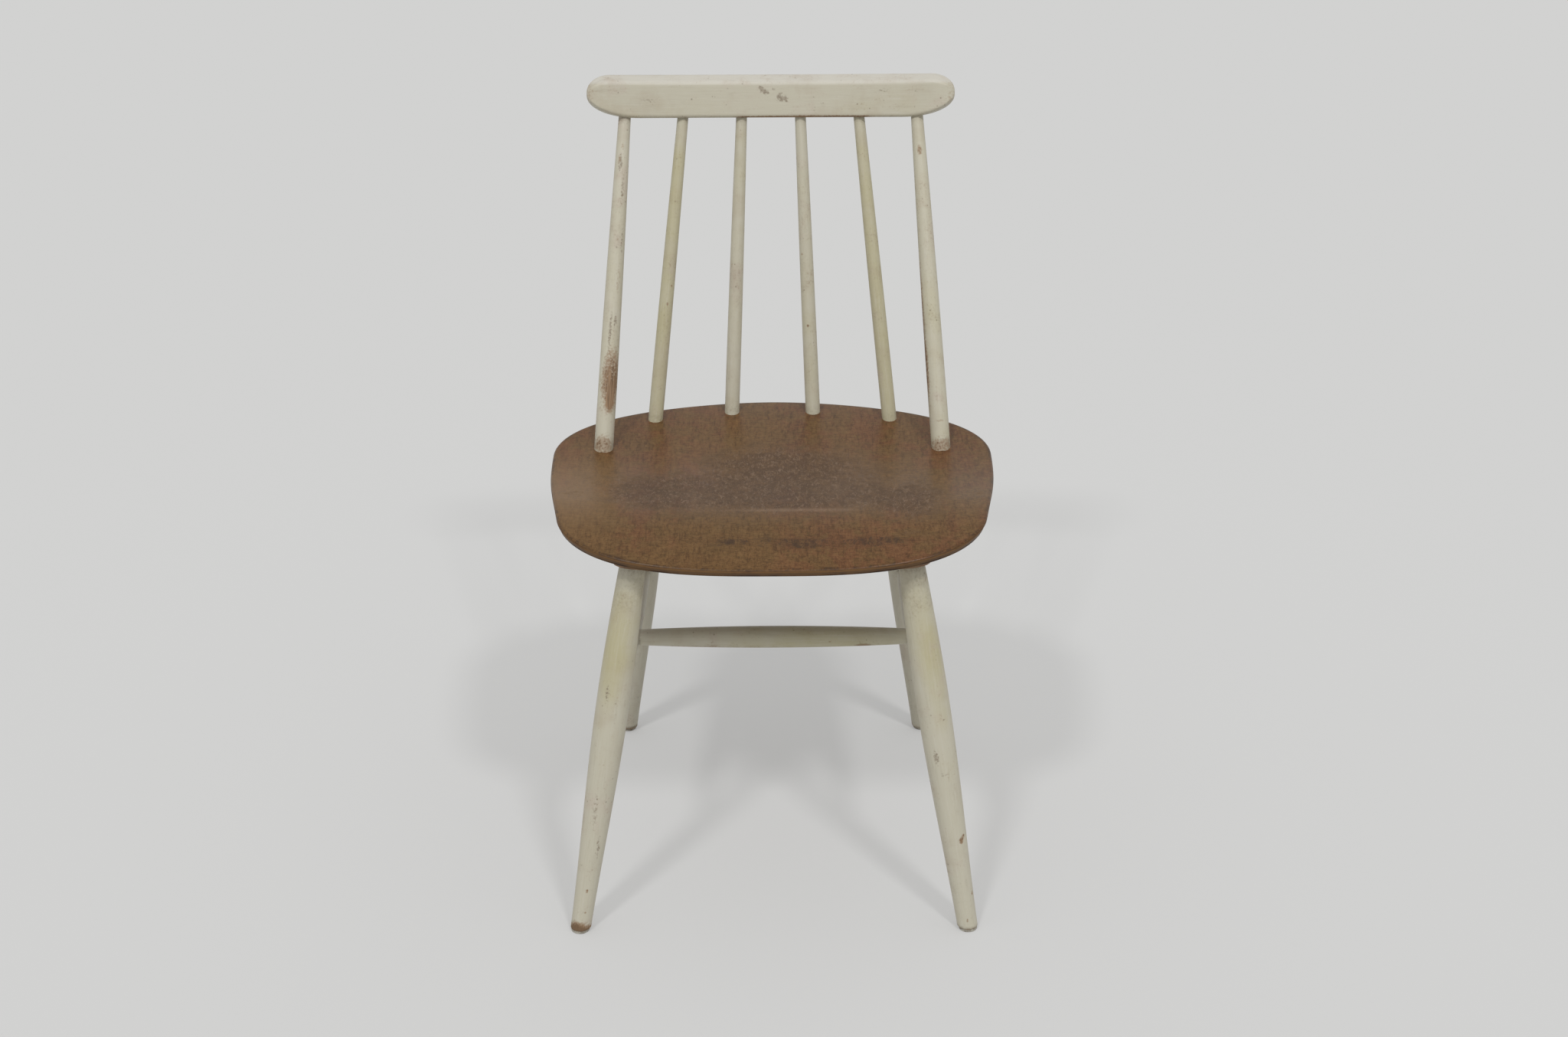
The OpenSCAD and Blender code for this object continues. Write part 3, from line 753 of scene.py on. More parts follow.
class Workshop:
    """Keeps one material for each finish, and turns point grids into dressed pieces."""

    SLOTS: ClassVar[dict[Finish, str]] = {
        Finish.PAINT: "cream_paint",
        Finish.VENEER: "seat_veneer",
        Finish.BEECH: "frame_wood",
        Finish.ZINC: "screw_steel",
        Finish.GLIDE: "glide_plastic",
    }

    def __init__(self) -> None:
        """Builds every finish."""
        self.materials = {finish: finish.value.build() for finish in Finish}

    def piece(
        self,
        name: str,
        rings: np.ndarray,
        finish: Finish,
        values: dict[str, np.ndarray],
        node: str,
        sharp: float = 40.0,
    ) -> bpy.types.Object:
        """Makes a closed piece from rings of points.

        Args:
            name: The piece's name.
            rings: Points, in shape (rings, points in a ring, 3). The ends are capped.
            finish: What it is finished in.
            values: Numbers or vectors for each point, by name, in the rings' own shape.
            node: The CAD node that it stands for.
            sharp: The angle in degrees above which an edge stays crisp.

        Returns:
            The piece.
        """
        count, around, _ = rings.shape
        steps = np.arange(count - 1)[:, None] * around
        here = np.arange(around)[None, :]
        after = (here + 1) % around
        above = steps + around
        quads = np.stack([steps + here, steps + after, above + after, above + here], -1)
        faces = [tuple(int(i) for i in q) for q in quads.reshape(-1, 4)]
        faces.append(tuple(range(around - 1, -1, -1)))
        faces.append(tuple(range((count - 1) * around, count * around)))
        mesh = bpy.data.meshes.new(name)
        mesh.from_pydata([tuple(p) for p in rings.reshape(-1, 3)], [], faces)
        return self.dress(name, mesh, finish, values, node, sharp)

    def dress(
        self,
        name: str,
        mesh: bpy.types.Mesh,
        finish: Finish,
        values: dict[str, np.ndarray],
        node: str,
        sharp: float,
    ) -> bpy.types.Object:
        """Turns a mesh into a piece of the chair, with its finish.

        Args:
            name: The piece's name.
            mesh: Its mesh, with no material yet.
            finish: What it is finished in.
            values: Numbers or vectors for each point, by name.
            node: The CAD node that it stands for.
            sharp: The angle in degrees above which an edge stays crisp.

        Returns:
            The piece.
        """
        for title, numbers in values.items():
            flat = np.ascontiguousarray(numbers, np.float32).reshape(-1)
            vector = flat.size == 3 * len(mesh.vertices)
            kept = mesh.attributes.new(title, "FLOAT_VECTOR" if vector else "FLOAT", "POINT")
            kept.data.foreach_set("vector" if vector else "value", flat)
        mesh.materials.append(self.materials[finish])
        mesh.shade_smooth()
        mesh.set_sharp_from_angle(angle=math.radians(sharp))
        piece = bpy.data.objects.new(name, mesh)
        bpy.context.scene.collection.objects.link(piece)
        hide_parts(node)
        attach(piece, BODY)
        LOG.info("%s: %d points", name, len(mesh.vertices))
        return piece

    def refinish(self, node: str, finish: Finish) -> None:
        """Gives a CAD node that stays as it is a finer finish.

        Args:
            node: The node.
            finish: What it is finished in.
        """
        mesh = frame["nodes"][node].data
        mesh.materials.clear()
        mesh.materials.append(self.materials[finish])
        LOG.info("%s: finished in %s", node, finish.value.name)


# ---------------------------------------------------------------------------
# The chair's plan
# ---------------------------------------------------------------------------


@dataclass
class Plan:
    """The chair's driving sizes in metres, and what follows from them.

    Attributes:
        seat_w: The seat's width.
        seat_d: Its depth.
        seat_h: The height of its front edge, in the middle.
        ply_t: The plywood's thickness.
        roll_h: How far the seat rises behind its front edge.
        roll_l: How far back it is still rising.
        dish_h: How deep its dish is.
        fall_h: How far it falls to its back.
        side_h: How far its sides rise.
        widest_back: How far behind its front edge it is widest.
        corner_back: How far behind its front edge the front corners end.
        corner_in: How far in from its widest they end.
        corner_slope: How fast the outline still widens there, going back.
        corner_reach: The outline's pull behind a front corner.
        side_reach: The outline's pull before its widest.
        rear_reach: The outline's pull behind its widest.
        flat_l: The outline's pull at the middle of the front and the back.
        roll_power: How early the rise at the front levels out.
        dish_power: How narrow the bottom of the dish is.
        side_power: How near its sides the seat rises.
        crest_behind: How far behind the seat the crest rail's lower front edge is.
        crest_rise: How far above the seat's front edge it is.
        crest_lean: How far the rail leans back.
        crest_r: The radius of the rail's front face.
        crest_t: The rail's thickness.
        spindle_pitch: The distance between two spindles at the rail.
        spindle_at: Each spindle's place on the line that they stand on, from the inner one out.
        spindle_in: How far in from the seat's side that line's last three control points are.
        spindle_back: How far ahead of the seat's back its control points are.
        samples: How many points each curve of the outline is drawn with.
        front_y: Where the seat's front edge is, along y.
    """

    seat_w: float = 490 * MM
    seat_d: float = 420 * MM
    seat_h: float = 428 * MM
    ply_t: float = 10 * MM
    roll_h: float = 16 * MM
    roll_l: float = 135 * MM
    dish_h: float = 10 * MM
    fall_h: float = 9 * MM
    side_h: float = 6 * MM
    widest_back: float = 273 * MM
    corner_back: float = 86 * MM
    corner_in: float = 18 * MM
    corner_slope: float = 0.16
    corner_reach: float = 80 * MM
    side_reach: float = 70 * MM
    rear_reach: float = 100 * MM
    flat_l: float = 90 * MM
    roll_power: float = 2.4
    dish_power: float = 2.0
    side_power: float = 3.0
    crest_behind: float = 71 * MM
    crest_rise: float = 329 * MM
    crest_lean: float = math.radians(17)
    crest_r: float = 560 * MM
    crest_t: float = 24 * MM
    spindle_pitch: float = 66 * MM
    spindle_at: Triple = (0.15, 0.5, 0.855)
    spindle_in: Triple = (135 * MM, 63 * MM, 43 * MM)
    spindle_back: tuple[float, float, float, float] = (30 * MM, 28 * MM, 38 * MM, 180 * MM)
    samples: int = 400
    front_y: float = field(init=False)

    def __post_init__(self) -> None:
        """Takes the place of the seat's front edge from the frame."""
        self.front_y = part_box("seat")[0].y

    @property
    def half_w(self) -> float:
        """Half the seat's width."""
        return self.seat_w / 2

    def seat_z(self, x: np.ndarray, v: np.ndarray) -> np.ndarray:
        """Height of the seat's top.

        Args:
            x: Distance to the right of the middle.
            v: Distance behind the front edge.

        Returns:
            The height at each point.
        """
        x, v = np.asarray(x, float), np.asarray(v, float)
        roll = self.roll_h * np.clip(1 - np.maximum(v, 0) / self.roll_l, 0, None) ** self.roll_power
        run = np.clip((v - self.roll_l / 2) / (self.seat_d - self.roll_l / 2), 0, 1)
        dish = self.dish_h * np.sin(math.pi * run) ** self.dish_power
        fall = self.fall_h * np.maximum(0, (v - self.roll_l) / (self.seat_d - self.roll_l))
        side = self.side_h * np.minimum(1, np.abs(x) / self.half_w) ** self.side_power
        return self.seat_h + self.roll_h - roll - dish - fall + side

    def outline(self, count: int) -> np.ndarray:
        """The seat's outline, at even steps.

        Args:
            count: How many points to give, all round.

        Returns:
            Points as x and distance behind the front edge.
        """
        corner = np.array([self.half_w - self.corner_in, self.corner_back])
        run = np.array([self.corner_slope, 1.0]) / math.hypot(self.corner_slope, 1.0)
        widest = np.array([self.half_w, self.widest_back])
        before, behind = widest - (0, self.side_reach), widest + (0, self.rear_reach)
        flat, deep = self.flat_l, self.seat_d
        share = np.linspace(0, 1, self.samples)
        curves = [
            bezier([(0, 0), (flat, 0), corner - self.corner_back * run, corner], share[:-1]),
            bezier([corner, corner + self.corner_reach * run, before, widest], share[:-1]),
            bezier([widest, behind, (flat, deep), (0, deep)], share),
        ]
        half = np.vstack(curves)
        return even_steps(np.vstack([half, (half * (-1, 1))[-2::-1]]), count)

    def spindle_line(self) -> list[tuple[float, float]]:
        """Control points of the right half of the line that the spindles stand on."""
        across = [0.0, *(self.half_w - inset for inset in self.spindle_in)]
        return [(x, self.seat_d - back) for x, back in zip(across, self.spindle_back)]

    def spindle_foot(self, rank: int, side: int) -> Vector:
        """Where a spindle's axis meets the seat's top."""
        x, v = bezier(self.spindle_line(), np.array([self.spindle_at[rank]]))[0]
        return Vector((side * x, self.front_y + v, float(self.seat_z(x, v))))

    def crest_point(self, along: np.ndarray, behind: np.ndarray, up: np.ndarray) -> np.ndarray:
        """Points of the crest rail.

        Args:
            along: Distance along its front face from the middle.
            behind: Distance behind that face.
            up: Distance above its lower edge, along its lean.

        Returns:
            The points.
        """
        turn = along / self.crest_r
        y = (self.crest_r + behind) * np.cos(turn) - self.crest_r
        x = (self.crest_r + behind) * np.sin(turn)
        lean_c, lean_s = math.cos(self.crest_lean), math.sin(self.crest_lean)
        start = self.front_y + self.seat_d + self.crest_behind
        height = self.seat_h + self.crest_rise
        return np.stack([x, start + y * lean_c + up * lean_s, height - y * lean_s + up * lean_c], -1)

    def spindle_top(self, rank: int, side: int) -> Vector:
        """Where a spindle's axis enters the crest rail."""
        along = side * (rank + 0.5) * self.spindle_pitch
        return Vector(self.crest_point(np.float64(along), np.float64(self.crest_t / 2), np.float64(0)))

    def foot(self, name: str) -> Vector:
        """Where a leg's axis meets the floor, from the record's mounts."""
        mount = next(m for m in frame["record"]["mounts"] if m["name"] == f"{name}_foot")
        return Vector(mount["pos_m"])


# ---------------------------------------------------------------------------
# Turned pieces
# ---------------------------------------------------------------------------


@dataclass(frozen=True)
class Mark:
    """One worn or dirty place on a turned piece, or a place of painted shade or painted light.

    Attributes:
        along: Its place along the piece, 0 to 1.
        angle: Its place round the piece in degrees: 0 faces front, 90 faces +X.
        half_length: Half its length, in metres.
        half_width: Half its width round the piece, in degrees. From 180 it goes all round.
        strength: How strong it is.
        kind: Which of the mesh's values it adds to.
    """

    along: float
    angle: float
    half_length: float
    half_width: float
    strength: float = 1.0
    kind: str = "wear"


@dataclass
class Turning:
    """A turned piece between two points.

    Attributes:
        name: The CAD node that it stands for.
        start: Where its axis begins.
        end: Where its axis ends.
        radius: Its radius at each share of its length.
        marks: Its worn and dirty places, and its places of painted shade and painted light.
        cut: The height of a level cut across its start, if it has one.
        before: How far it runs on before its start.
        after: How far it runs on past its end.
        around: How many points it has round it.
        step: The distance between its rings.
        wobble: How uneven its radius is, as a share of it.
        wobbles: How many lumps there are to a metre.
        cut_fade: How far up the piece the level cut still slants its rings.
    """

    # The rings that round off a level end: how far out each one reaches, and how much it is raised.
    END_RINGS: ClassVar[tuple[tuple[float, float], ...]] = ((0.55, 0.0), (0.90, 0.0), (0.965, 0.2 * MM))
    END_LIFT: ClassVar[float] = 0.8 * MM
    # A piece whose axis is this nearly level, front to back, has its angles measured from its top.
    LENGTHWISE: ClassVar[float] = 0.9
    # A mark is whole out to its core, and gone at its edge, as shares of its half sizes.
    MARK_CORE: ClassVar[float] = 0.25
    MARK_EDGE: ClassVar[float] = 1.15
    SEED_SHIFT: ClassVar[float] = 3.7

    name: str
    start: Vector
    end: Vector
    radius: Callable[[np.ndarray], np.ndarray]
    marks: Sequence[Mark] = ()
    cut: float | None = None
    before: float = 0.0
    after: float = 0.0
    around: int = 64
    step: float = 2 * MM
    wobble: float = 0.006
    wobbles: float = 9.0
    cut_fade: float = 50 * MM

    def build(self, shop: Workshop, seed: float) -> bpy.types.Object:
        """Builds the piece.

        Args:
            shop: What dresses it.
            seed: Moves its patterns, so that no two pieces match.

        Returns:
            The piece.
        """
        axis = self.end - self.start
        length = axis.length
        axis.normalize()
        front = (Vector((0, -1, 0)) - axis * -axis.y).normalized()
        if abs(axis.y) > self.LENGTHWISE:
            front = (Vector((0, 0, 1)) - axis * axis.z).normalized()
        # Angles grow towards +X, and the rings run one way round the axis, whichever way it points.
        side = axis.cross(front) if axis.cross(front).x >= 0 else front.cross(axis)
        spots = np.arange(-self.before, length + self.after + self.step, self.step)
        angles = np.linspace(0, 2 * math.pi, self.around, endpoint=False)
        turn = angles if axis.cross(front).dot(side) > 0 else -angles
        share = np.clip(spots / length, 0, 1)
        lumps = bump_noise(np.stack([spots, spots * 0, spots * 0], -1), self.wobbles, seed)
        radius = self.radius(share) * (1 + self.wobble * lumps)
        radial = np.cos(turn)[:, None] * np.array(front) + np.sin(turn)[:, None] * np.array(side)
        spine = np.array(self.start) + spots[:, None] * np.array(axis)
        rings = spine[:, None, :] + radius[:, None, None] * radial[None]
        if self.cut is not None:
            over = (rings[0, :, 2] - self.cut) / axis.z
            fade = np.clip(1 - (spots - spots[0]) / self.cut_fade, 0, 1)[:, None, None]
            rings = rings - fade * over[None, :, None] * np.array(axis)
            rings = np.concatenate([self._rounded_end(rings[0], np.array(axis)), rings])
            extra = len(self.END_RINGS)
            spots = np.concatenate([[spots[0]] * extra, spots])
            share = np.concatenate([[0.0] * extra, share])
        values = self._values(rings, spots, share, length, np.degrees(turn), seed)
        return shop.piece(self.name + "_turned", rings, Finish.PAINT, values, self.name)

    def _rounded_end(self, ring: np.ndarray, axis: np.ndarray) -> np.ndarray:
        """Rounds off a level end, and lifts its first ring to suit.

        Args:
            ring: The end's first ring, which is moved.
            axis: The way the piece runs.

        Returns:
            The rings that come before it.
        """
        middle = ring.mean(0)
        softened = [middle + (ring - middle) * out + (0, 0, rise) for out, rise in self.END_RINGS]
        ring += axis * self.END_LIFT
        return np.array(softened)

    def _values(
        self,
        rings: np.ndarray,
        spots: np.ndarray,
        share: np.ndarray,
        length: float,
        turn: np.ndarray,
        seed: float,
    ) -> dict[str, np.ndarray]:
        """The numbers that the paint reads, for each point.

        Args:
            rings: The piece's points.
            spots: Each ring's distance from the start.
            share: The same, as a share of the length.
            length: The length between the two ends.
            turn: Each point's angle round the piece, in degrees.
            seed: Moves the patterns.

        Returns:
            The values, by name.
        """
        shape = rings.shape[:2]
        radius = self.radius(share)[:, None]
        angle = np.radians(turn)[None, :]
        local = np.stack(
            [radius * np.cos(angle), radius * np.sin(angle), np.broadcast_to(spots[:, None], shape)], -1
        )
        values = {kind: np.zeros(shape) for kind in ("wear", "scrape", "grime_and_shade", "brown", "age")}
        for mark in self.marks:
            away = (spots[:, None] - mark.along * length) / mark.half_length
            off = ((turn[None, :] - mark.angle + 180) % 360 - 180) / mark.half_width
            reach = np.hypot(away, off if mark.half_width < 180 else 0 * off)
            values[mark.kind] += mark.strength * (1 - smooth(reach, self.MARK_CORE, self.MARK_EDGE))
        values["grain"] = local + seed * self.SEED_SHIFT
        return values


@dataclass
class Legs:
    """The four turned legs, with their worn feet.

    Attributes:
        plan: The chair's plan.
        foot_d: A leg's diameter at the foot.
        full_d: Its diameter where it is fullest.
        top_d: Its diameter at the top.
        full_at: Where it is fullest, as a share of its length.
        swell_power: How slowly it swells from the foot.
        neck_power: How late it narrows above.
        glide_t: The thickness of the glide under it.
        into_board: How far it runs on into the board that holds it.
        front_in: How far in from the seat's side a front leg's top is.
        front_back: How far behind the seat's front edge it is.
        rear_in: How far in from the seat's side a rear leg's top is.
        rear_ahead: How far ahead of the seat's back it is.
        around: How many points a leg has round it.
        first_seed: The seed of the first leg's patterns.
    """

    # The grime ring at a leg's top and the wide grime band below it are painted shade under the seat. The
    # grime at and just above the foot is dirt.
    SHARED_MARKS: ClassVar[tuple[Mark, ...]] = (
        Mark(0.0, 0, 0.010, 360, 0.55, "grime_and_shade"),
        Mark(1.0, 0, 0.012, 360, 0.35, "grime_and_shade"),
        Mark(0.85, 0, 0.08, 360, 0.5, "age"),
        Mark(0.95, 0, 0.06, 360, 0.32, "grime_and_shade"),
        Mark(0.10, 0, 0.05, 360, 0.2, "grime_and_shade"),
    )
    OWN_MARKS: ClassVar[dict[str, list[Mark]]] = {
        "front_left": [
            Mark(0.0, -22, 0.017, 92, 1.3),
            Mark(0.0, -40, 0.016, 90, 1.2, "grime_and_shade"),
            Mark(0.0, 70, 0.011, 70, 0.85),
            Mark(0.12, 5, 0.0028, 9, 0.9),
            Mark(0.06, 12, 0.002, 6, 0.8),
            Mark(0.24, 25, 0.02, 14, 0.5, "scrape"),
            Mark(0.73, -30, 0.07, 75, 0.7, "age"),
            Mark(0.66, -25, 0.014, 10, 0.6, "scrape"),
            Mark(0.34, -10, 0.03, 16, 0.35, "scrape"),
        ],
        "front_right": [
            Mark(0.0, 0, 0.006, 100, 0.7),
            Mark(0.0, 0, 0.007, 120, 0.6, "grime_and_shade"),
            Mark(0.253, 34, 0.0055, 16, 0.85),
            Mark(0.262, 50, 0.003, 10, 0.8),
            Mark(0.49, -18, 0.010, 14, 0.75, "scrape"),
            Mark(0.44, 0, 0.004, 20, 0.4, "scrape"),
            Mark(0.034, 5, 0.0022, 9, 0.8),
            Mark(0.10, 62, 0.0025, 10, 0.8),
            Mark(0.70, 30, 0.075, 75, 0.7, "age"),
        ],
        # The age marks below zero on both rear legs are painted light. They lighten legs that stand in
        # the seat's shadow.
        "rear_left": [
            Mark(0.0, 0, 0.007, 360, 0.9),
            Mark(0.0, 30, 0.010, 120, 0.9, "grime_and_shade"),
            Mark(0.56, -62, 0.005, 14, 0.8),
            Mark(0.6, 0, 0.3, 360, -0.12, "age"),
        ],
        "rear_right": [Mark(0.0, 0, 0.006, 360, 0.6), Mark(0.6, 0, 0.3, 360, -0.12, "age")],
    }

    plan: Plan
    foot_d: float = 22 * MM
    full_d: float = 35.5 * MM
    top_d: float = 27.5 * MM
    full_at: float = 0.65
    swell_power: float = 1.5
    neck_power: float = 1.6
    glide_t: float = 3.5 * MM
    into_board: float = 4 * MM
    front_in: float = 99.5 * MM
    front_back: float = 55 * MM
    rear_in: float = 111 * MM
    rear_ahead: float = 81 * MM
    around: int = 96
    first_seed: float = 1.3

    def radius(self, share: np.ndarray) -> np.ndarray:
        """A leg's radius along its length.

        Args:
            share: Shares of its length, from the foot.

        Returns:
            The radius at each.
        """
        low = np.sin(math.pi / 2 * np.clip(share / self.full_at, 0, 1)) ** self.swell_power
        high = np.clip((share - self.full_at) / (1 - self.full_at), 0, 1) ** self.neck_power
        below = self.foot_d + (self.full_d - self.foot_d) * low
        above = self.full_d - (self.full_d - self.top_d) * high
        return np.where(share < self.full_at, below, above) / 2

    def top(self, name: str) -> Vector:
        """Where a leg's axis meets the board that holds it.

        Args:
            name: The leg's end and side, such as "front_left".

        Returns:
            The place.
        """
        end, side = name.split("_")
        if end == "front":
            board, inset, back = "front_rail", self.front_in, self.front_back
        else:
            board, inset, back = "rear_yoke", self.rear_in, self.plan.seat_d - self.rear_ahead
        sign = 1 if side == "right" else -1
        return Vector((sign * (self.plan.half_w - inset), self.plan.front_y + back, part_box(board)[0].z))

    def build(self, shop: Workshop) -> None:
        """Builds the four legs.

        Args:
            shop: What dresses them.
        """
        for number, name in enumerate(self.OWN_MARKS):
            end, side = name.split("_")
            turning = Turning(
                f"{end}_leg_{side}",
                self.plan.foot(name),
                self.top(name),
                self.radius,
                [*self.SHARED_MARKS, *self.OWN_MARKS[name]],
                cut=self.glide_t,
                before=-self.glide_t,
                after=self.into_board,
                around=self.around,
            )
            turning.build(shop, self.first_seed + number)


@dataclass
class Spindles:
    """The six tapered spindles of the back.

    Attributes:
        plan: The chair's plan.
        foot_d: Their diameters at the seat, from the inner one out.
        top_d: Their diameters at the crest rail.
        ranks: Their names.
        taper_power: How late they taper.
        into_seat: How far they run on into the seat.
        into_rail: How far they run on into the rail.
        around: How many points a spindle has round it.
        middle_seed: The seed of the inner ones' patterns, between the left one's and the right one's.
        seed_step: How far the next ones' seeds are from it.
    """

    # The grime rings at both ends are painted contact shade, where a spindle meets the seat and the crest
    # rail.
    SHARED_MARKS: ClassVar[tuple[Mark, ...]] = (
        Mark(0.0, 0, 0.012, 360, 0.25, "grime_and_shade"),
        Mark(1.0, 0, 0.010, 360, 0.4, "grime_and_shade"),
        Mark(0.45, 0, 0.22, 360, 0.22, "grime_and_shade"),
        Mark(0.35, 0, 0.3, 360, 0.35, "age"),
    )
    OWN_MARKS: ClassVar[dict[str, list[Mark]]] = {
        "outer_left": [
            Mark(0.205, 24, 0.044, 92, 0.82),
            Mark(0.21, -10, 0.035, 40, 0.75, "scrape"),
            Mark(0.14, 20, 0.018, 34, 0.5),
            Mark(0.22, 60, 0.03, 40, 0.3, "grime_and_shade"),
            Mark(0.35, -5, 0.03, 14, 0.8, "scrape"),
            Mark(0.38, 25, 0.010, 12, 0.8, "scrape"),
            Mark(0.50, 30, 0.022, 25, 0.32),
            Mark(0.62, 40, 0.03, 12, 0.5, "scrape"),
            Mark(0.86, -10, 0.014, 22, 0.8, "scrape"),
            Mark(0.87, -20, 0.008, 15, 0.45),
            Mark(0.91, 0, 0.005, 20, 0.45),
            Mark(0.78, 20, 0.022, 14, 0.6, "scrape"),
            Mark(0.0, 0, 0.018, 100, 0.62),
            Mark(0.0, 10, 0.014, 120, 0.4, "grime_and_shade"),
        ],
        "outer_right": [
            Mark(0.24, -70, 0.045, 30, 0.75),
            Mark(0.45, -72, 0.07, 20, 0.6),
            Mark(0.30, -75, 0.09, 32, 0.6, "grime_and_shade"),
            Mark(0.895, 0, 0.0085, 26, 0.6),
            Mark(0.076, 0, 0.0014, 150, 0.5),
            Mark(0.0, 0, 0.012, 110, 0.55),
            Mark(0.0, 20, 0.012, 120, 0.35, "grime_and_shade"),
        ],
        "inner_right": [Mark(0.54, -40, 0.0024, 12, 0.8), Mark(0.295, -12, 0.0024, 11, 0.8)],
        "mid_left": [
            Mark(0.35, 0, 0.3, 360, 0.5, "age"),
            Mark(0.445, 35, 0.0024, 12, 0.8),
            Mark(0.385, 12, 0.0022, 11, 0.8),
        ],
        "mid_right": [Mark(0.35, 0, 0.3, 360, 0.5, "age")],
    }

    plan: Plan
    foot_d: Triple = (16.7 * MM, 16.7 * MM, 21.4 * MM)
    top_d: Triple = (12.5 * MM, 12.5 * MM, 13.8 * MM)
    ranks: tuple[str, str, str] = ("inner", "mid", "outer")
    taper_power: float = 1.9
    into_seat: float = 6 * MM
    into_rail: float = 12 * MM
    around: int = 56
    middle_seed: float = 11.1
    seed_step: float = 2.3

    def build(self, shop: Workshop) -> None:
        """Builds the six spindles.

        Args:
            shop: What dresses them.
        """
        for side, sign in (("left", -1), ("right", 1)):
            for rank, title in enumerate(self.ranks):
                wide, narrow = self.foot_d[rank], self.top_d[rank]

                def radius(share: np.ndarray, wide: float = wide, narrow: float = narrow) -> np.ndarray:
                    """The spindle's radius at each share of its length."""
                    return (wide - (wide - narrow) * share**self.taper_power) / 2

                turning = Turning(
                    f"spindle_{title}_{side}",
                    self.plan.spindle_foot(rank, sign),
                    self.plan.spindle_top(rank, sign),
                    radius,
                    [*self.SHARED_MARKS, *self.OWN_MARKS.get(f"{title}_{side}", [])],
                    before=self.into_seat,
                    after=self.into_rail,
                    around=self.around,
                )
                turning.build(shop, self.middle_seed + rank * self.seed_step + sign)


@dataclass
class Stretchers:
    """The two side stretchers, and the cross stretcher with its rubbed top.

    Attributes:
        plan: The chair's plan.
        legs: The legs that they join.
        height: How high up the legs they are.
        end_d: Their diameter at the ends.
        mid_d: Their diameter in the middle.
        swell_power: How near the ends they swell.
        into_joint: How far they run on into what holds them.
        seeds: The seeds of their patterns.
    """

    # The grime rings at the ends of each stretcher are painted contact shade at the joints.
    SIDE_MARKS: ClassVar[tuple[Mark, ...]] = (
        Mark(0.0, 0, 0.008, 360, 0.45, "grime_and_shade"),
        Mark(1.0, 0, 0.008, 360, 0.45, "grime_and_shade"),
        Mark(0.4, 0, 0.07, 60, 0.5, "brown"),
        Mark(0.7, 15, 0.02, 25, 0.5),
    )
    CROSS_MARKS: ClassVar[tuple[Mark, ...]] = (
        Mark(0.0, 0, 0.007, 360, 0.7, "grime_and_shade"),
        Mark(1.0, 0, 0.007, 360, 0.5, "grime_and_shade"),
        Mark(0.30, 60, 0.11, 65, 0.42, "brown"),
        Mark(0.66, 65, 0.10, 60, 0.22, "brown"),
        Mark(0.83, 40, 0.012, 24, 0.95, "brown"),
        Mark(0.5, 0, 0.3, 360, 0.45, "age"),
        Mark(0.24, 60, 0.05, 40, 0.35),
    )

    plan: Plan
    legs: Legs
    height: float = 244 * MM
    end_d: float = 17 * MM
    mid_d: float = 24.6 * MM
    swell_power: float = 0.8
    into_joint: float = 3 * MM
    seeds: Triple = (31.0, 33.0, 35.0)

    def radius(self, share: np.ndarray) -> np.ndarray:
        """A stretcher's radius at each share of its length."""
        swell = np.clip(np.sin(math.pi * np.clip(share, 0.0, 1.0)), 0, 1) ** self.swell_power
        return (self.end_d + (self.mid_d - self.end_d) * swell) / 2

    def on_leg(self, name: str) -> Vector:
        """The point of a leg's axis at the stretchers' height."""
        foot, top = self.plan.foot(name), self.legs.top(name)
        return foot + (top - foot) * (self.height / top.z)

    def _turning(self, name: str, ends: Sequence[Vector], joint: float, marks: Sequence[Mark]) -> Turning:
        """A stretcher between two round pieces.

        Args:
            name: The CAD node that it stands for.
            ends: The points of their axes that it runs between.
            joint: Their radius there.
            marks: Its worn and dirty places, and its rings of painted shade at the joints.

        Returns:
            The stretcher, with its ends sunk a little into their faces.
        """
        way = (ends[1] - ends[0]).normalized() * math.sqrt(joint**2 - self.end_d**2 / 4)
        sunk = self.into_joint
        return Turning(name, ends[0] + way, ends[1] - way, self.radius, marks, before=sunk, after=sunk)

    def build(self, shop: Workshop) -> None:
        """Builds the three stretchers.

        Args:
            shop: What dresses them.
        """
        joint = float(self.legs.radius(np.array([self.height / self.legs.top("front_left").z]))[0])
        middles = []
        for side, seed in zip(("left", "right"), self.seeds):
            ends = self.on_leg(f"front_{side}"), self.on_leg(f"rear_{side}")
            middles.append((ends[0] + ends[1]) / 2)
            self._turning(f"side_stretcher_{side}", ends, joint, self.SIDE_MARKS).build(shop, seed)
        cross = self._turning("cross_stretcher", middles, self.mid_d / 2, self.CROSS_MARKS)
        cross.build(shop, self.seeds[2])


# ---------------------------------------------------------------------------
# Seat
# ---------------------------------------------------------------------------


@dataclass(frozen=True)
class Patch:
    """A soft-edged oval place on the seat.

    Attributes:
        strength: How strong it is in its middle.
        x: Its distance to the right of the seat's middle.
        back: Its distance behind the seat's front edge.
        half_w: Half its width.
        half_d: Half its depth.
    """

    FADE: ClassVar[float] = 1.35

    strength: float
    x: float
    back: float
    half_w: float
    half_d: float

    def over(self, flat: np.ndarray) -> np.ndarray:
        """Its strength at each point, given as x and distance behind the front edge."""
        reach = np.hypot((flat[..., 0] - self.x) / self.half_w, (flat[..., 1] - self.back) / self.half_d)
        return self.strength * (1 - smooth(reach, 0.0, self.FADE))


class SkinRing(NamedTuple):
    """One ring of the seat's skin.

    Attributes:
        points: Its points, as x and distance behind the front edge.
        drop: How far it lies below the seat's top.
        rim: Whether it shows the plywood's layers.
        under: Whether it is on the underside.
    """

    points: np.ndarray
    drop: float
    rim: bool = False
    under: bool = False


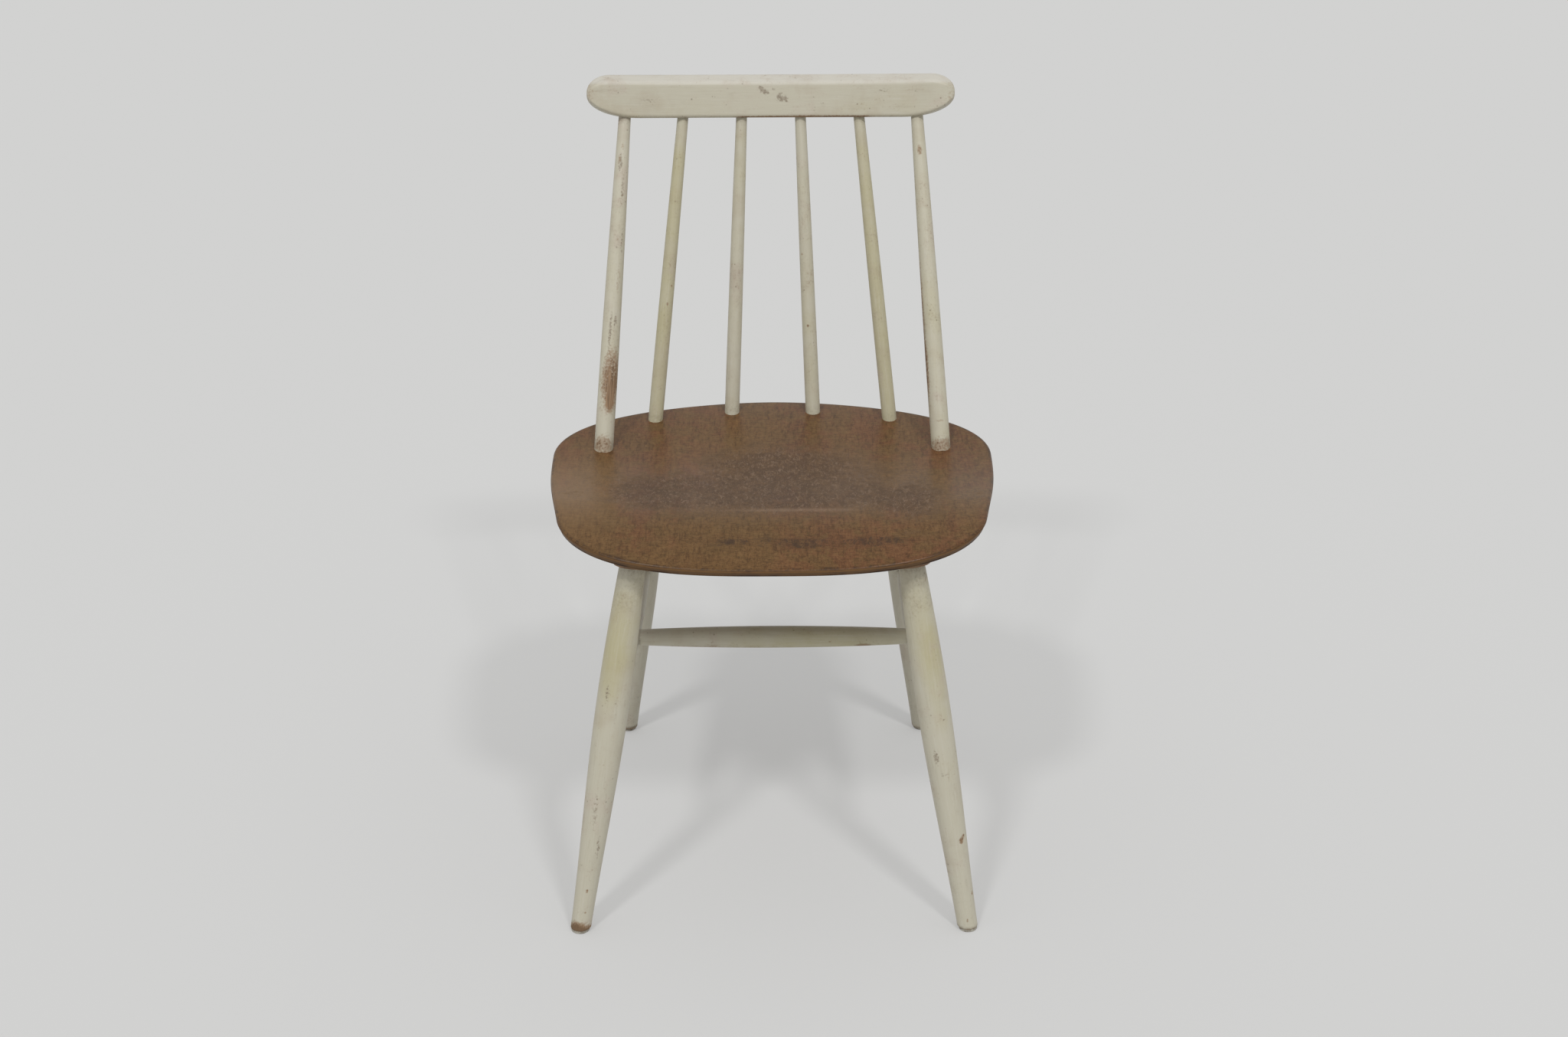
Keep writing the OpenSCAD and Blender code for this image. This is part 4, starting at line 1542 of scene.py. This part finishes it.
@dataclass
class Seat:
    """The dished plywood seat: its rubbed top, layered edge and plain underside.

    Attributes:
        plan: The chair's plan.
        edge_r: The radius of its edges.
        undercut: How far its edge slopes in.
        around: How many points a ring has.
        rings: How many rings its top has.
        under_rings: How many rings its underside has.
        round_steps: How many rings there are round each edge.
        edge_parts: Where the rings between the edges are, as shares of the height between them.
        centre_share: How near the middle the rings end, as a share of the outline.
        under_share: How wide the underside is, as a share of the outline.
        under_start: Where its rings begin, as a share of its own width.
        layers_from: How far round the upper edge the layers begin to show, in radians.
        layers_to: How far round the lower edge they stop.
        rim_dark: How much darker its top is made near the outline.
        rim_dark_w: Where that darkening begins and where it is whole, outwards from the outline.
        grain_shift: Moves its patterns.
        sharp: The angle in degrees above which an edge stays crisp.
    """

    WEAR_AND_PAINTED_LIGHT: ClassVar[dict[str, list[Patch]]] = {
        "scuff": [
            Patch(0.85, 0.0, 0.19, 0.18, 0.1),
            Patch(0.7, -0.127, 0.165, 0.05, 0.06),
            Patch(0.75, 0.148, 0.13, 0.045, 0.06),
            Patch(0.5, 0.015, 0.27, 0.1, 0.06),
            Patch(0.2, -0.19, 0.2, 0.05, 0.1),
            Patch(0.4, 0.0, 0.15, 0.2, 0.06),
        ],
        # Painted reflection: a thin band where the front roll meets the dish, and softer patches.
        "pale": [
            Patch(0.9, 0.015, 0.113, 0.11, 0.008),
            Patch(0.5, -0.085, 0.15, 0.03, 0.05),
            Patch(0.45, 0.075, 0.17, 0.05, 0.07),
        ],
        # Dark smudges. The last, wide one is a painted shade band along the front roll.
        "smudge_and_shade": [
            Patch(0.9, -0.04, 0.047, 0.02, 0.005),
            Patch(0.8, 0.03, 0.042, 0.028, 0.011),
            Patch(0.8, 0.107, 0.045, 0.032, 0.01),
            Patch(0.5, 0.02, 0.046, 0.21, 0.014),
        ],
        # Painted highlight towards the left and right sides.
        "side_highlight": [Patch(0.9, -0.225, 0.16, 0.09, 0.14), Patch(0.35, 0.25, 0.14, 0.05, 0.12)],
    }

    plan: Plan
    edge_r: float = 3 * MM
    undercut: float = 2 * MM
    around: int = 480
    rings: int = 96
    under_rings: int = 30
    round_steps: int = 7
    edge_parts: Triple = (0.25, 0.5, 0.75)
    centre_share: float = 0.015
    under_share: float = 0.985
    under_start: float = 0.97
    layers_from: float = 0.9
    layers_to: float = 0.5
    rim_dark: float = 0.6
    rim_dark_w: tuple[float, float] = (-6 * MM, -2 * MM)
    grain_shift: float = 5.0
    sharp: float = 60.0

    def build(self, shop: Workshop) -> bpy.types.Object:
        """Builds the seat.

        Args:
            shop: What dresses it.

        Returns:
            The seat.
        """
        plan = self.plan
        outline = plan.outline(self.around)
        middle = np.array([0, plan.seat_d / 2])
        skin = self._skin(outline, middle)
        flat = np.array([ring.points for ring in skin])

        def spread(numbers: Iterable[float]) -> np.ndarray:
            """Gives each ring's number to all of its points."""
            return np.array(list(numbers), float)[:, None] + np.zeros(flat.shape[:2])

        drop = spread(ring.drop for ring in skin)
        height = plan.seat_z(flat[..., 0], flat[..., 1]) - drop
        rings = np.stack([flat[..., 0], plan.front_y + flat[..., 1], height], -1)
        values = {kind: sum(patch.over(flat) for patch in patches) for kind, patches in self.WEAR_AND_PAINTED_LIGHT.items()}
        reach = np.linalg.norm(flat - middle, axis=2) - np.linalg.norm(outline - middle, axis=1)
        # The top is made darker near the outline.
        values["smudge_and_shade"] += self.rim_dark * smooth(reach, *self.rim_dark_w)
        values["rim"] = spread(ring.rim for ring in skin)
        values["under"] = spread(ring.under for ring in skin)
        values["depth"] = drop / plan.ply_t
        values["grain"] = rings + self.grain_shift
        return shop.piece("seat_board", rings, Finish.VENEER, values, "seat", self.sharp)

    def _skin(self, outline: np.ndarray, middle: np.ndarray) -> list[SkinRing]:
        """The seat's skin, from the middle of its top round its edge to the middle of its underside.

        Args:
            outline: The seat's outline.
            middle: The point that the rings close on.

        Returns:
            The rings, in order.
        """
        thick, edge_r = self.plan.ply_t, self.edge_r
        inward = (outline - middle) / np.linalg.norm(outline - middle, axis=1, keepdims=True)
        skin = []
        for share in np.linspace(self.centre_share, 1, self.rings, endpoint=False):
            skin.append(SkinRing(middle + (outline - inward * edge_r - middle) * share, 0.0))
        for turn in np.linspace(0, math.pi / 2, self.round_steps):
            inset, drop = edge_r * (1 - math.sin(turn)), edge_r * (1 - math.cos(turn))
            skin.append(SkinRing(outline - inward * inset, drop, rim=turn > self.layers_from))
        for part in self.edge_parts:
            drop = edge_r + (thick - 2 * edge_r) * part
            skin.append(SkinRing(outline - inward * self.undercut * part, drop, rim=True))
        for turn in np.linspace(math.pi / 2, 0, self.round_steps):
            inset, lift = self.undercut + edge_r * (1 - math.sin(turn)), edge_r * (1 - math.cos(turn))
            skin.append(SkinRing(outline - inward * inset, thick - lift, rim=turn > self.layers_to))
        for share in np.linspace(self.under_start, self.centre_share, self.under_rings):
            points = middle + (outline - middle) * share * self.under_share
            skin.append(SkinRing(points, thick, under=True))
        return skin


# ---------------------------------------------------------------------------
# Crest rail
# ---------------------------------------------------------------------------


@dataclass(frozen=True)
class Stroke:
    """A soft-edged oval scrape on the crest rail's front face, in millimetres.

    Attributes:
        along: Its distance to the right of the rail's middle.
        up: Its distance above the rail's lower edge.
        half_length: Half its length.
        half_width: Half its width.
        lean: How far its length leans from level, in degrees.
        strength: How strong it is.
    """

    CORE: ClassVar[float] = 0.2
    EDGE: ClassVar[float] = 1.2

    along: float
    up: float
    half_length: float
    half_width: float
    lean: float
    strength: float

    def over(self, along: np.ndarray, up: np.ndarray) -> np.ndarray:
        """How strong it is at each point of the front face.

        Args:
            along: Distance along the rail from its middle, in metres.
            up: Distance above its lower edge, in metres.

        Returns:
            The strength at each point.
        """
        run, rise = math.cos(math.radians(self.lean)), math.sin(math.radians(self.lean))
        across, above = along / MM - self.along, up / MM - self.up
        length = (across * run + above * rise) / self.half_length
        width = (above * run - across * rise) / self.half_width
        return self.strength * (1 - smooth(np.hypot(length, width), self.CORE, self.EDGE))


@dataclass
class CrestRail:
    """The curved crest rail, with its rounded ends and its scrapes.

    Attributes:
        plan: The chair's plan.
        half_l: Half its length.
        height: Its height.
        fall: How far its crown falls to the front face.
        low_r: The radius of its lower edges.
        back_r: The radius of its upper back edge.
        front_r: The radius of its upper front edge.
        back_turn: Where the crown leaves the back edge's rounding, in degrees.
        front_turn: Where it meets the front edge's rounding, in degrees.
        end_top_l: How far from its ends they begin to round off above.
        end_bottom_l: How far from its ends they begin to round off below.
        end_face_l: How far from its ends they begin to thin.
        end_split: How high its ends close, as a share of its height.
        end_share: Where the last rings are, as a share of its length.
        crown_pulls: The crown's pulls, as shares of its thickness and of its fall.
        corner_steps: How many points a rounded corner has.
        crown_steps: How many points the crown has.
        rings: How many rings it has.
        around: How many points a ring has.
        grain_shift: Moves its patterns.
        sharp: The angle in degrees above which an edge stays crisp.
    """

    SCRAPES: ClassVar[tuple[Stroke, ...]] = (
        Stroke(-9.5, 31.0, 6.0, 1.7, -55, 1.2),
        Stroke(-5.0, 28.5, 4.5, 1.6, -20, 1.1),
        Stroke(-12.5, 33.5, 3.0, 1.5, 10, 0.9),
        Stroke(3.5, 31.5, 2.6, 1.8, 20, 0.9),
        Stroke(9.0, 24.5, 5.5, 1.7, 55, 1.2),
        Stroke(14.0, 21.5, 4.5, 2.1, 5, 1.2),
        Stroke(17.5, 19.5, 4.5, 1.6, -45, 1.1),
        Stroke(12.0, 18.5, 2.5, 1.2, 0, 0.8),
        Stroke(-65.0, 24.0, 6.0, 1.5, 0, 0.5),
        Stroke(-8.0, 30.0, 9.0, 5.5, -35, 0.42),
        Stroke(13.0, 22.0, 10.0, 6.5, 15, 0.45),
        Stroke(130.0, 30.0, 9.0, 3.0, 8, 0.45),
        Stroke(-140.0, 20.0, 11.0, 4.0, -6, 0.4),
        Stroke(60.0, 16.0, 5.0, 1.2, 4, 0.5),
    )

    plan: Plan
    half_l: float = 208 * MM
    height: float = 49 * MM
    fall: float = 13 * MM
    low_r: float = 4 * MM
    back_r: float = 6 * MM
    front_r: float = 7 * MM
    back_turn: float = 70.0
    front_turn: float = 120.0
    end_top_l: float = 29 * MM
    end_bottom_l: float = 60 * MM
    end_face_l: float = 30 * MM
    end_split: float = 0.55
    end_share: float = 0.9996
    crown_pulls: tuple[tuple[float, float], tuple[float, float]] = ((0.66, 0.02), (0.45, 0.3))
    corner_steps: int = 12
    crown_steps: int = 20
    rings: int = 300
    around: int = 112
    grain_shift: float = 4.3
    sharp: float = 70.0

    def section(self) -> np.ndarray:
        """The rail's section, as points at even steps.

        Returns:
            Points as distance behind the front face and above the lower edge.
        """
        thick, tall = self.plan.crest_t, self.height

        def arc(n: float, s: float, r: float, start: float, stop: float) -> list[tuple[float, float]]:
            """Points of a rounded corner."""
            turns = np.radians(np.linspace(start, stop, self.corner_steps))
            return [(n + r * math.cos(w), s + r * math.sin(w)) for w in turns]

        points = arc(self.low_r, self.low_r, self.low_r, 180, 270)
        points += arc(thick - self.low_r, self.low_r, self.low_r, 270, 360)
        points += arc(thick - self.back_r, tall - self.back_r, self.back_r, 0, self.back_turn)
        front = arc(self.front_r, tall - self.fall, self.front_r, self.front_turn, 180)
        high, low = ((thick * back, tall - self.fall * down) for back, down in self.crown_pulls)
        crown = bezier([points[-1], high, low, front[0]], np.linspace(0, 1, self.crown_steps)[1:-1])
        points += [tuple(p) for p in crown] + front
        return even_steps(np.array(points + points[:1]), self.around)

    def build(self, shop: Workshop) -> bpy.types.Object:
        """Builds the rail.

        Args:
            shop: What dresses it.

        Returns:
            The rail.
        """
        section = self.section()
        turns = np.linspace(-math.pi / 2, math.pi / 2, self.rings)
        along = self.half_l * self.end_share * np.sin(turns)
        over, under, thinned = (
            ellipse_drop((np.abs(along) - (self.half_l - length)) / length)
            for length in (self.end_top_l, self.end_bottom_l, self.end_face_l)
        )
        top = (self.height - self.height * (1 - self.end_split) * over)[:, None]
        bottom = (self.height * self.end_split * under)[:, None]
        half_t = self.plan.crest_t / 2
        behind = half_t + (section[None, :, 0] - half_t) * (1 - thinned)[:, None]
        up = bottom + (top - bottom) * section[None, :, 1] / self.height
        spread = along[:, None] + np.zeros_like(behind)
        rings = self.plan.crest_point(spread, behind, up)
        values = self._wear(spread, behind, up)
        values["grain"] = np.stack([behind, up, spread], -1) + self.grain_shift
        return shop.piece("crest_rail_shaped", rings, Finish.PAINT, values, "crest_rail", self.sharp)

    def _wear(self, along: np.ndarray, behind: np.ndarray, up: np.ndarray) -> dict[str, np.ndarray]:
        """Where the rail is scraped, worn and dirty, and where its top has a painted highlight.

        Args:
            along: Distance along the rail from its middle.
            behind: Distance behind its front face.
            up: Distance above its lower edge.

        Returns:
            The values that the paint reads, by name.
        """
        out = np.abs(along)
        facing = 1 - smooth(behind, 4 * MM, 12 * MM)
        low = (1 - smooth(up, 0.8 * MM, 3 * MM)) * (1 - smooth(behind, 3 * MM, 7 * MM))
        bared = smooth(along, -50 * MM, -30 * MM) * (1 - smooth(along, 105 * MM, 125 * MM))
        ends = smooth(out, self.half_l - 12 * MM, self.half_l)
        crown = smooth(up, 34 * MM, 41 * MM)
        foot = smooth(-up, -30 * MM, -10 * MM)
        yellow = smooth(out, 120 * MM, 170 * MM) * (1 - crown)
        return {
            "wear": 0.7 * low * bared + 0.12 * low + 0.25 * ends,
            "scrape": sum(stroke.over(along, up) for stroke in self.SCRAPES) * facing,
            "grime_and_shade": 0.2 * low,
            "brown": 0.5 * low * bared,
            # The crown's share, below zero, is a painted highlight along the rail's top.
            "age": 0.1 * foot + 0.2 * yellow - 0.5 * crown,
        }


# ---------------------------------------------------------------------------
# Boards, glides and screws
# ---------------------------------------------------------------------------


@dataclass
class Underframe:
    """The front rail and the rear yoke under the seat, and the screws that hold it.

    Attributes:
        bevel: How wide an eased edge is.
        bevel_steps: How many faces it has.
        sharp: The angle in degrees above which an edge is eased.
        level_within: The angle within which neighbouring faces are taken as one.
        weld: The distance within which points are taken as one.
    """

    bevel: float = 1.5 * MM
    bevel_steps: int = 3
    sharp: float = 35.0
    level_within: float = math.radians(1)
    weld: float = 0.01 * MM

    def build(self, shop: Workshop) -> None:
        """Builds the boards with eased edges, and finishes the screws.

        Args:
            shop: What dresses them.
        """
        for node in ("front_rail", "rear_yoke"):
            self._board(shop, node)
        shop.refinish("seat_screws", Finish.ZINC)

    def _board(self, shop: Workshop, node: str) -> None:
        """Copies a board from the frame and eases its edges.

        Args:
            shop: What dresses it.
            node: The board's CAD node.
        """
        work = bmesh.new()
        work.from_mesh(frame["nodes"][node].data)
        bmesh.ops.remove_doubles(work, verts=work.verts, dist=self.weld)
        bmesh.ops.dissolve_limit(work, angle_limit=self.level_within, verts=work.verts, edges=work.edges)
        rough = bpy.data.meshes.new(node + "_rough")
        work.to_mesh(rough)
        work.free()
        cast = bpy.data.objects.new(node + "_rough", rough)
        bpy.context.scene.collection.objects.link(cast)
        bevel = cast.modifiers.new("eased", "BEVEL")
        bevel.width = self.bevel
        bevel.segments = self.bevel_steps
        bevel.limit_method = "ANGLE"
        bevel.angle_limit = math.radians(self.sharp)
        solved = cast.evaluated_get(bpy.context.evaluated_depsgraph_get())
        mesh = bpy.data.meshes.new_from_object(solved)
        bpy.data.objects.remove(cast)
        mesh.materials.clear()
        points = np.empty(3 * len(mesh.vertices))
        mesh.vertices.foreach_get("co", points)
        shop.dress(node + "_board", mesh, Finish.BEECH, {"grain": points}, node, self.sharp)


@dataclass
class Glides:
    """The nail-on glides under the feet.

    Attributes:
        plan: The chair's plan.
        diameter: A glide's diameter.
        thickness: Its thickness.
        rim: The radius of its lower edge.
        crisp: How far its upper edge is cut off.
        hub: The radius of its innermost ring.
        around: How many points a ring has.
        round_steps: How many rings there are round the lower edge.
        grain_shift: How far the next glide's patterns are moved.
        sharp: The angle in degrees above which an edge stays crisp.
    """

    plan: Plan
    diameter: float = 20 * MM
    thickness: float = 3.5 * MM
    rim: float = 1 * MM
    crisp: float = 0.4 * MM
    hub: float = 1 * MM
    around: int = 56
    round_steps: int = 6
    grain_shift: float = 2.1
    sharp: float = 50.0

    def profile(self) -> list[tuple[float, float]]:
        """The glide's half section, from the middle of its sole to the middle of its top.

        Returns:
            Points as radius and height.
        """
        radius = self.diameter / 2
        points = [(self.hub, 0.0), (radius - self.rim - 2 * self.hub, 0.0)]
        for turn in np.linspace(0, math.pi / 2, self.round_steps):
            points.append((radius - self.rim * (1 - math.sin(turn)), self.rim * (1 - math.cos(turn))))
        points += [(radius, self.thickness - self.crisp), (radius - self.crisp, self.thickness)]
        return points + [(2 * self.hub, self.thickness)]

    def build(self, shop: Workshop) -> None:
        """Builds the four glides.

        Args:
            shop: What dresses them.
        """
        turn = np.linspace(0, 2 * math.pi, self.around, endpoint=False)
        circle = np.stack([np.cos(turn), np.sin(turn), 0 * turn], -1)
        rings = np.array([circle * radius + (0, 0, height) for radius, height in self.profile()])
        for number, name in enumerate(("front_left", "front_right", "rear_left", "rear_right")):
            values = {"grain": rings + number * self.grain_shift}
            placed = rings + np.array(self.plan.foot(name))
            shop.piece(f"glide_{name}_disc", placed, Finish.GLIDE, values, f"glide_{name}", self.sharp)


# ---------------------------------------------------------------------------
# Studio
# ---------------------------------------------------------------------------


@dataclass
class Studio:
    """The pale floor, the soft light and the camera.

    Attributes:
        floor_colour: The floor's colour, and the surround's.
        floor_glow: How much of the floor's look is its own colour, unshaded.
        sky: How strong the even light is.
        sun: How strong each lamp is.
        sun_size: How wide a lamp looks from the chair.
        sun_turn: How far round from the front it hangs.
        sun_height: How high it hangs, as an angle.
        sun_away: How far away it hangs.
        floor_half: Half the floor's width.
        camera_at: Where the camera is.
        pitch: How far it looks up from straight down.
        roll: How far it is rolled.
        lens: Its focal length, in millimetres.
        sensor: Its sensor's width, in millimetres.
    """

    floor_colour: Colour = srgb(209, 209, 208)
    floor_glow: float = 0.42
    sky: float = 0.62
    sun: float = 0.78
    sun_size: float = math.radians(7)
    sun_turn: float = math.radians(28)
    sun_height: float = math.radians(53)
    sun_away: float = 3.0
    floor_half: float = 30.0
    camera_at: Triple = (0.0128, -2.6274, 1.648)
    pitch: float = math.radians(64)
    roll: float = math.radians(-0.267)
    lens: float = 59.77
    sensor: float = 36.0

    def build(self) -> None:
        """Builds the studio."""
        self._floor()
        self._world()
        for name, turn in (("left_light", -self.sun_turn), ("right_light", self.sun_turn)):
            self._sun(name, turn)
        self._camera()

    @staticmethod
    def _seen(graph: Graph) -> Value:
        """Tells what is seen from what only lights the chair.

        Args:
            graph: The graph that asks.

        Returns:
            1 for what the camera sees, straight or in gloss or glass, and 0 for other light.
        """
        path = graph.node("ShaderNodeLightPath")
        seen = path.value("Is Camera Ray").at_least(path.value("Is Glossy Ray"))
        return seen.at_least(path.value("Is Transmission Ray"))

    def _floor(self) -> None:
        """Lays a wide pale floor, which softens the shadows on it."""
        mesh = bpy.data.meshes.new("floor")
        half = self.floor_half
        corners = [(-half, -half, 0), (half, -half, 0), (half, half, 0), (-half, half, 0)]
        mesh.from_pydata(corners, [], [(0, 1, 2, 3)])
        graph = Graph(bpy.data.materials.new("studio_floor"))
        lit = graph.node("ShaderNodeBsdfDiffuse", {}, {"Color": self.floor_colour})
        glow = graph.node("ShaderNodeEmission", {}, {"Color": self.floor_colour})
        share = self._seen(graph) * self.floor_glow
        both = graph.node("ShaderNodeMixShader", {}, {0: share, 1: lit.tint(), 2: glow.tint()})
        graph.node("ShaderNodeOutputMaterial", {}, {"Surface": both.tint()})
        mesh.materials.append(graph.holder)
        floor = bpy.data.objects.new("floor", mesh)
        bpy.context.scene.collection.objects.link(floor)

    def _world(self) -> None:
        """Sets an even pale surround."""
        world = bpy.data.worlds.new("surround")
        bpy.context.scene.world = world
        graph = Graph(world)
        shown = graph.node("ShaderNodeBackground", {}, {"Color": self.floor_colour})
        lit = graph.node("ShaderNodeBackground", {}, {"Color": (1.0, 1.0, 1.0), "Strength": self.sky})
        sockets = {0: self._seen(graph), 1: lit.tint(), 2: shown.tint()}
        both = graph.node("ShaderNodeMixShader", {}, sockets)
        graph.node("ShaderNodeOutputWorld", {}, {"Surface": both.tint()})

    def _sun(self, name: str, turn: float) -> None:
        """Hangs a soft lamp in front of the chair, high up.

        Args:
            name: The lamp's name.
            turn: How far it stands round to the right of the front.
        """
        data = bpy.data.lights.new(name, "SUN")
        data.energy = self.sun
        data.angle = self.sun_size
        lamp = bpy.data.objects.new(name, data)
        reach = math.cos(self.sun_height)
        stand = Vector((math.sin(turn) * reach, -math.cos(turn) * reach, math.sin(self.sun_height)))
        lamp.location = stand * self.sun_away
        lamp.rotation_euler = (-stand).to_track_quat("-Z", "Y").to_euler()
        bpy.context.scene.collection.objects.link(lamp)

    def _camera(self) -> None:
        """Sets up the camera."""
        data = bpy.data.cameras.new("camera")
        data.lens = self.lens
        data.sensor_width = self.sensor
        data.dof.use_dof = False
        camera = bpy.data.objects.new("camera", data)
        tilt = Matrix.Rotation(self.pitch, 4, "X") @ Matrix.Rotation(self.roll, 4, "Z")
        camera.matrix_world = Matrix.Translation(self.camera_at) @ tilt
        bpy.context.scene.collection.objects.link(camera)
        bpy.context.scene.camera = camera
        bpy.context.scene.view_settings.view_transform = "Standard"


def main() -> None:
    """Builds the chair and its studio."""
    logging.basicConfig(level=logging.INFO, format="%(name)s %(message)s")
    Studio().build()
    shop = Workshop()
    plan = Plan()
    legs = Legs(plan)
    legs.build(shop)
    Spindles(plan).build(shop)
    Stretchers(plan, legs).build(shop)
    Seat(plan).build(shop)
    CrestRail(plan).build(shop)
    Underframe().build(shop)
    Glides(plan).build(shop)


if __name__ == "__main__":
    main()
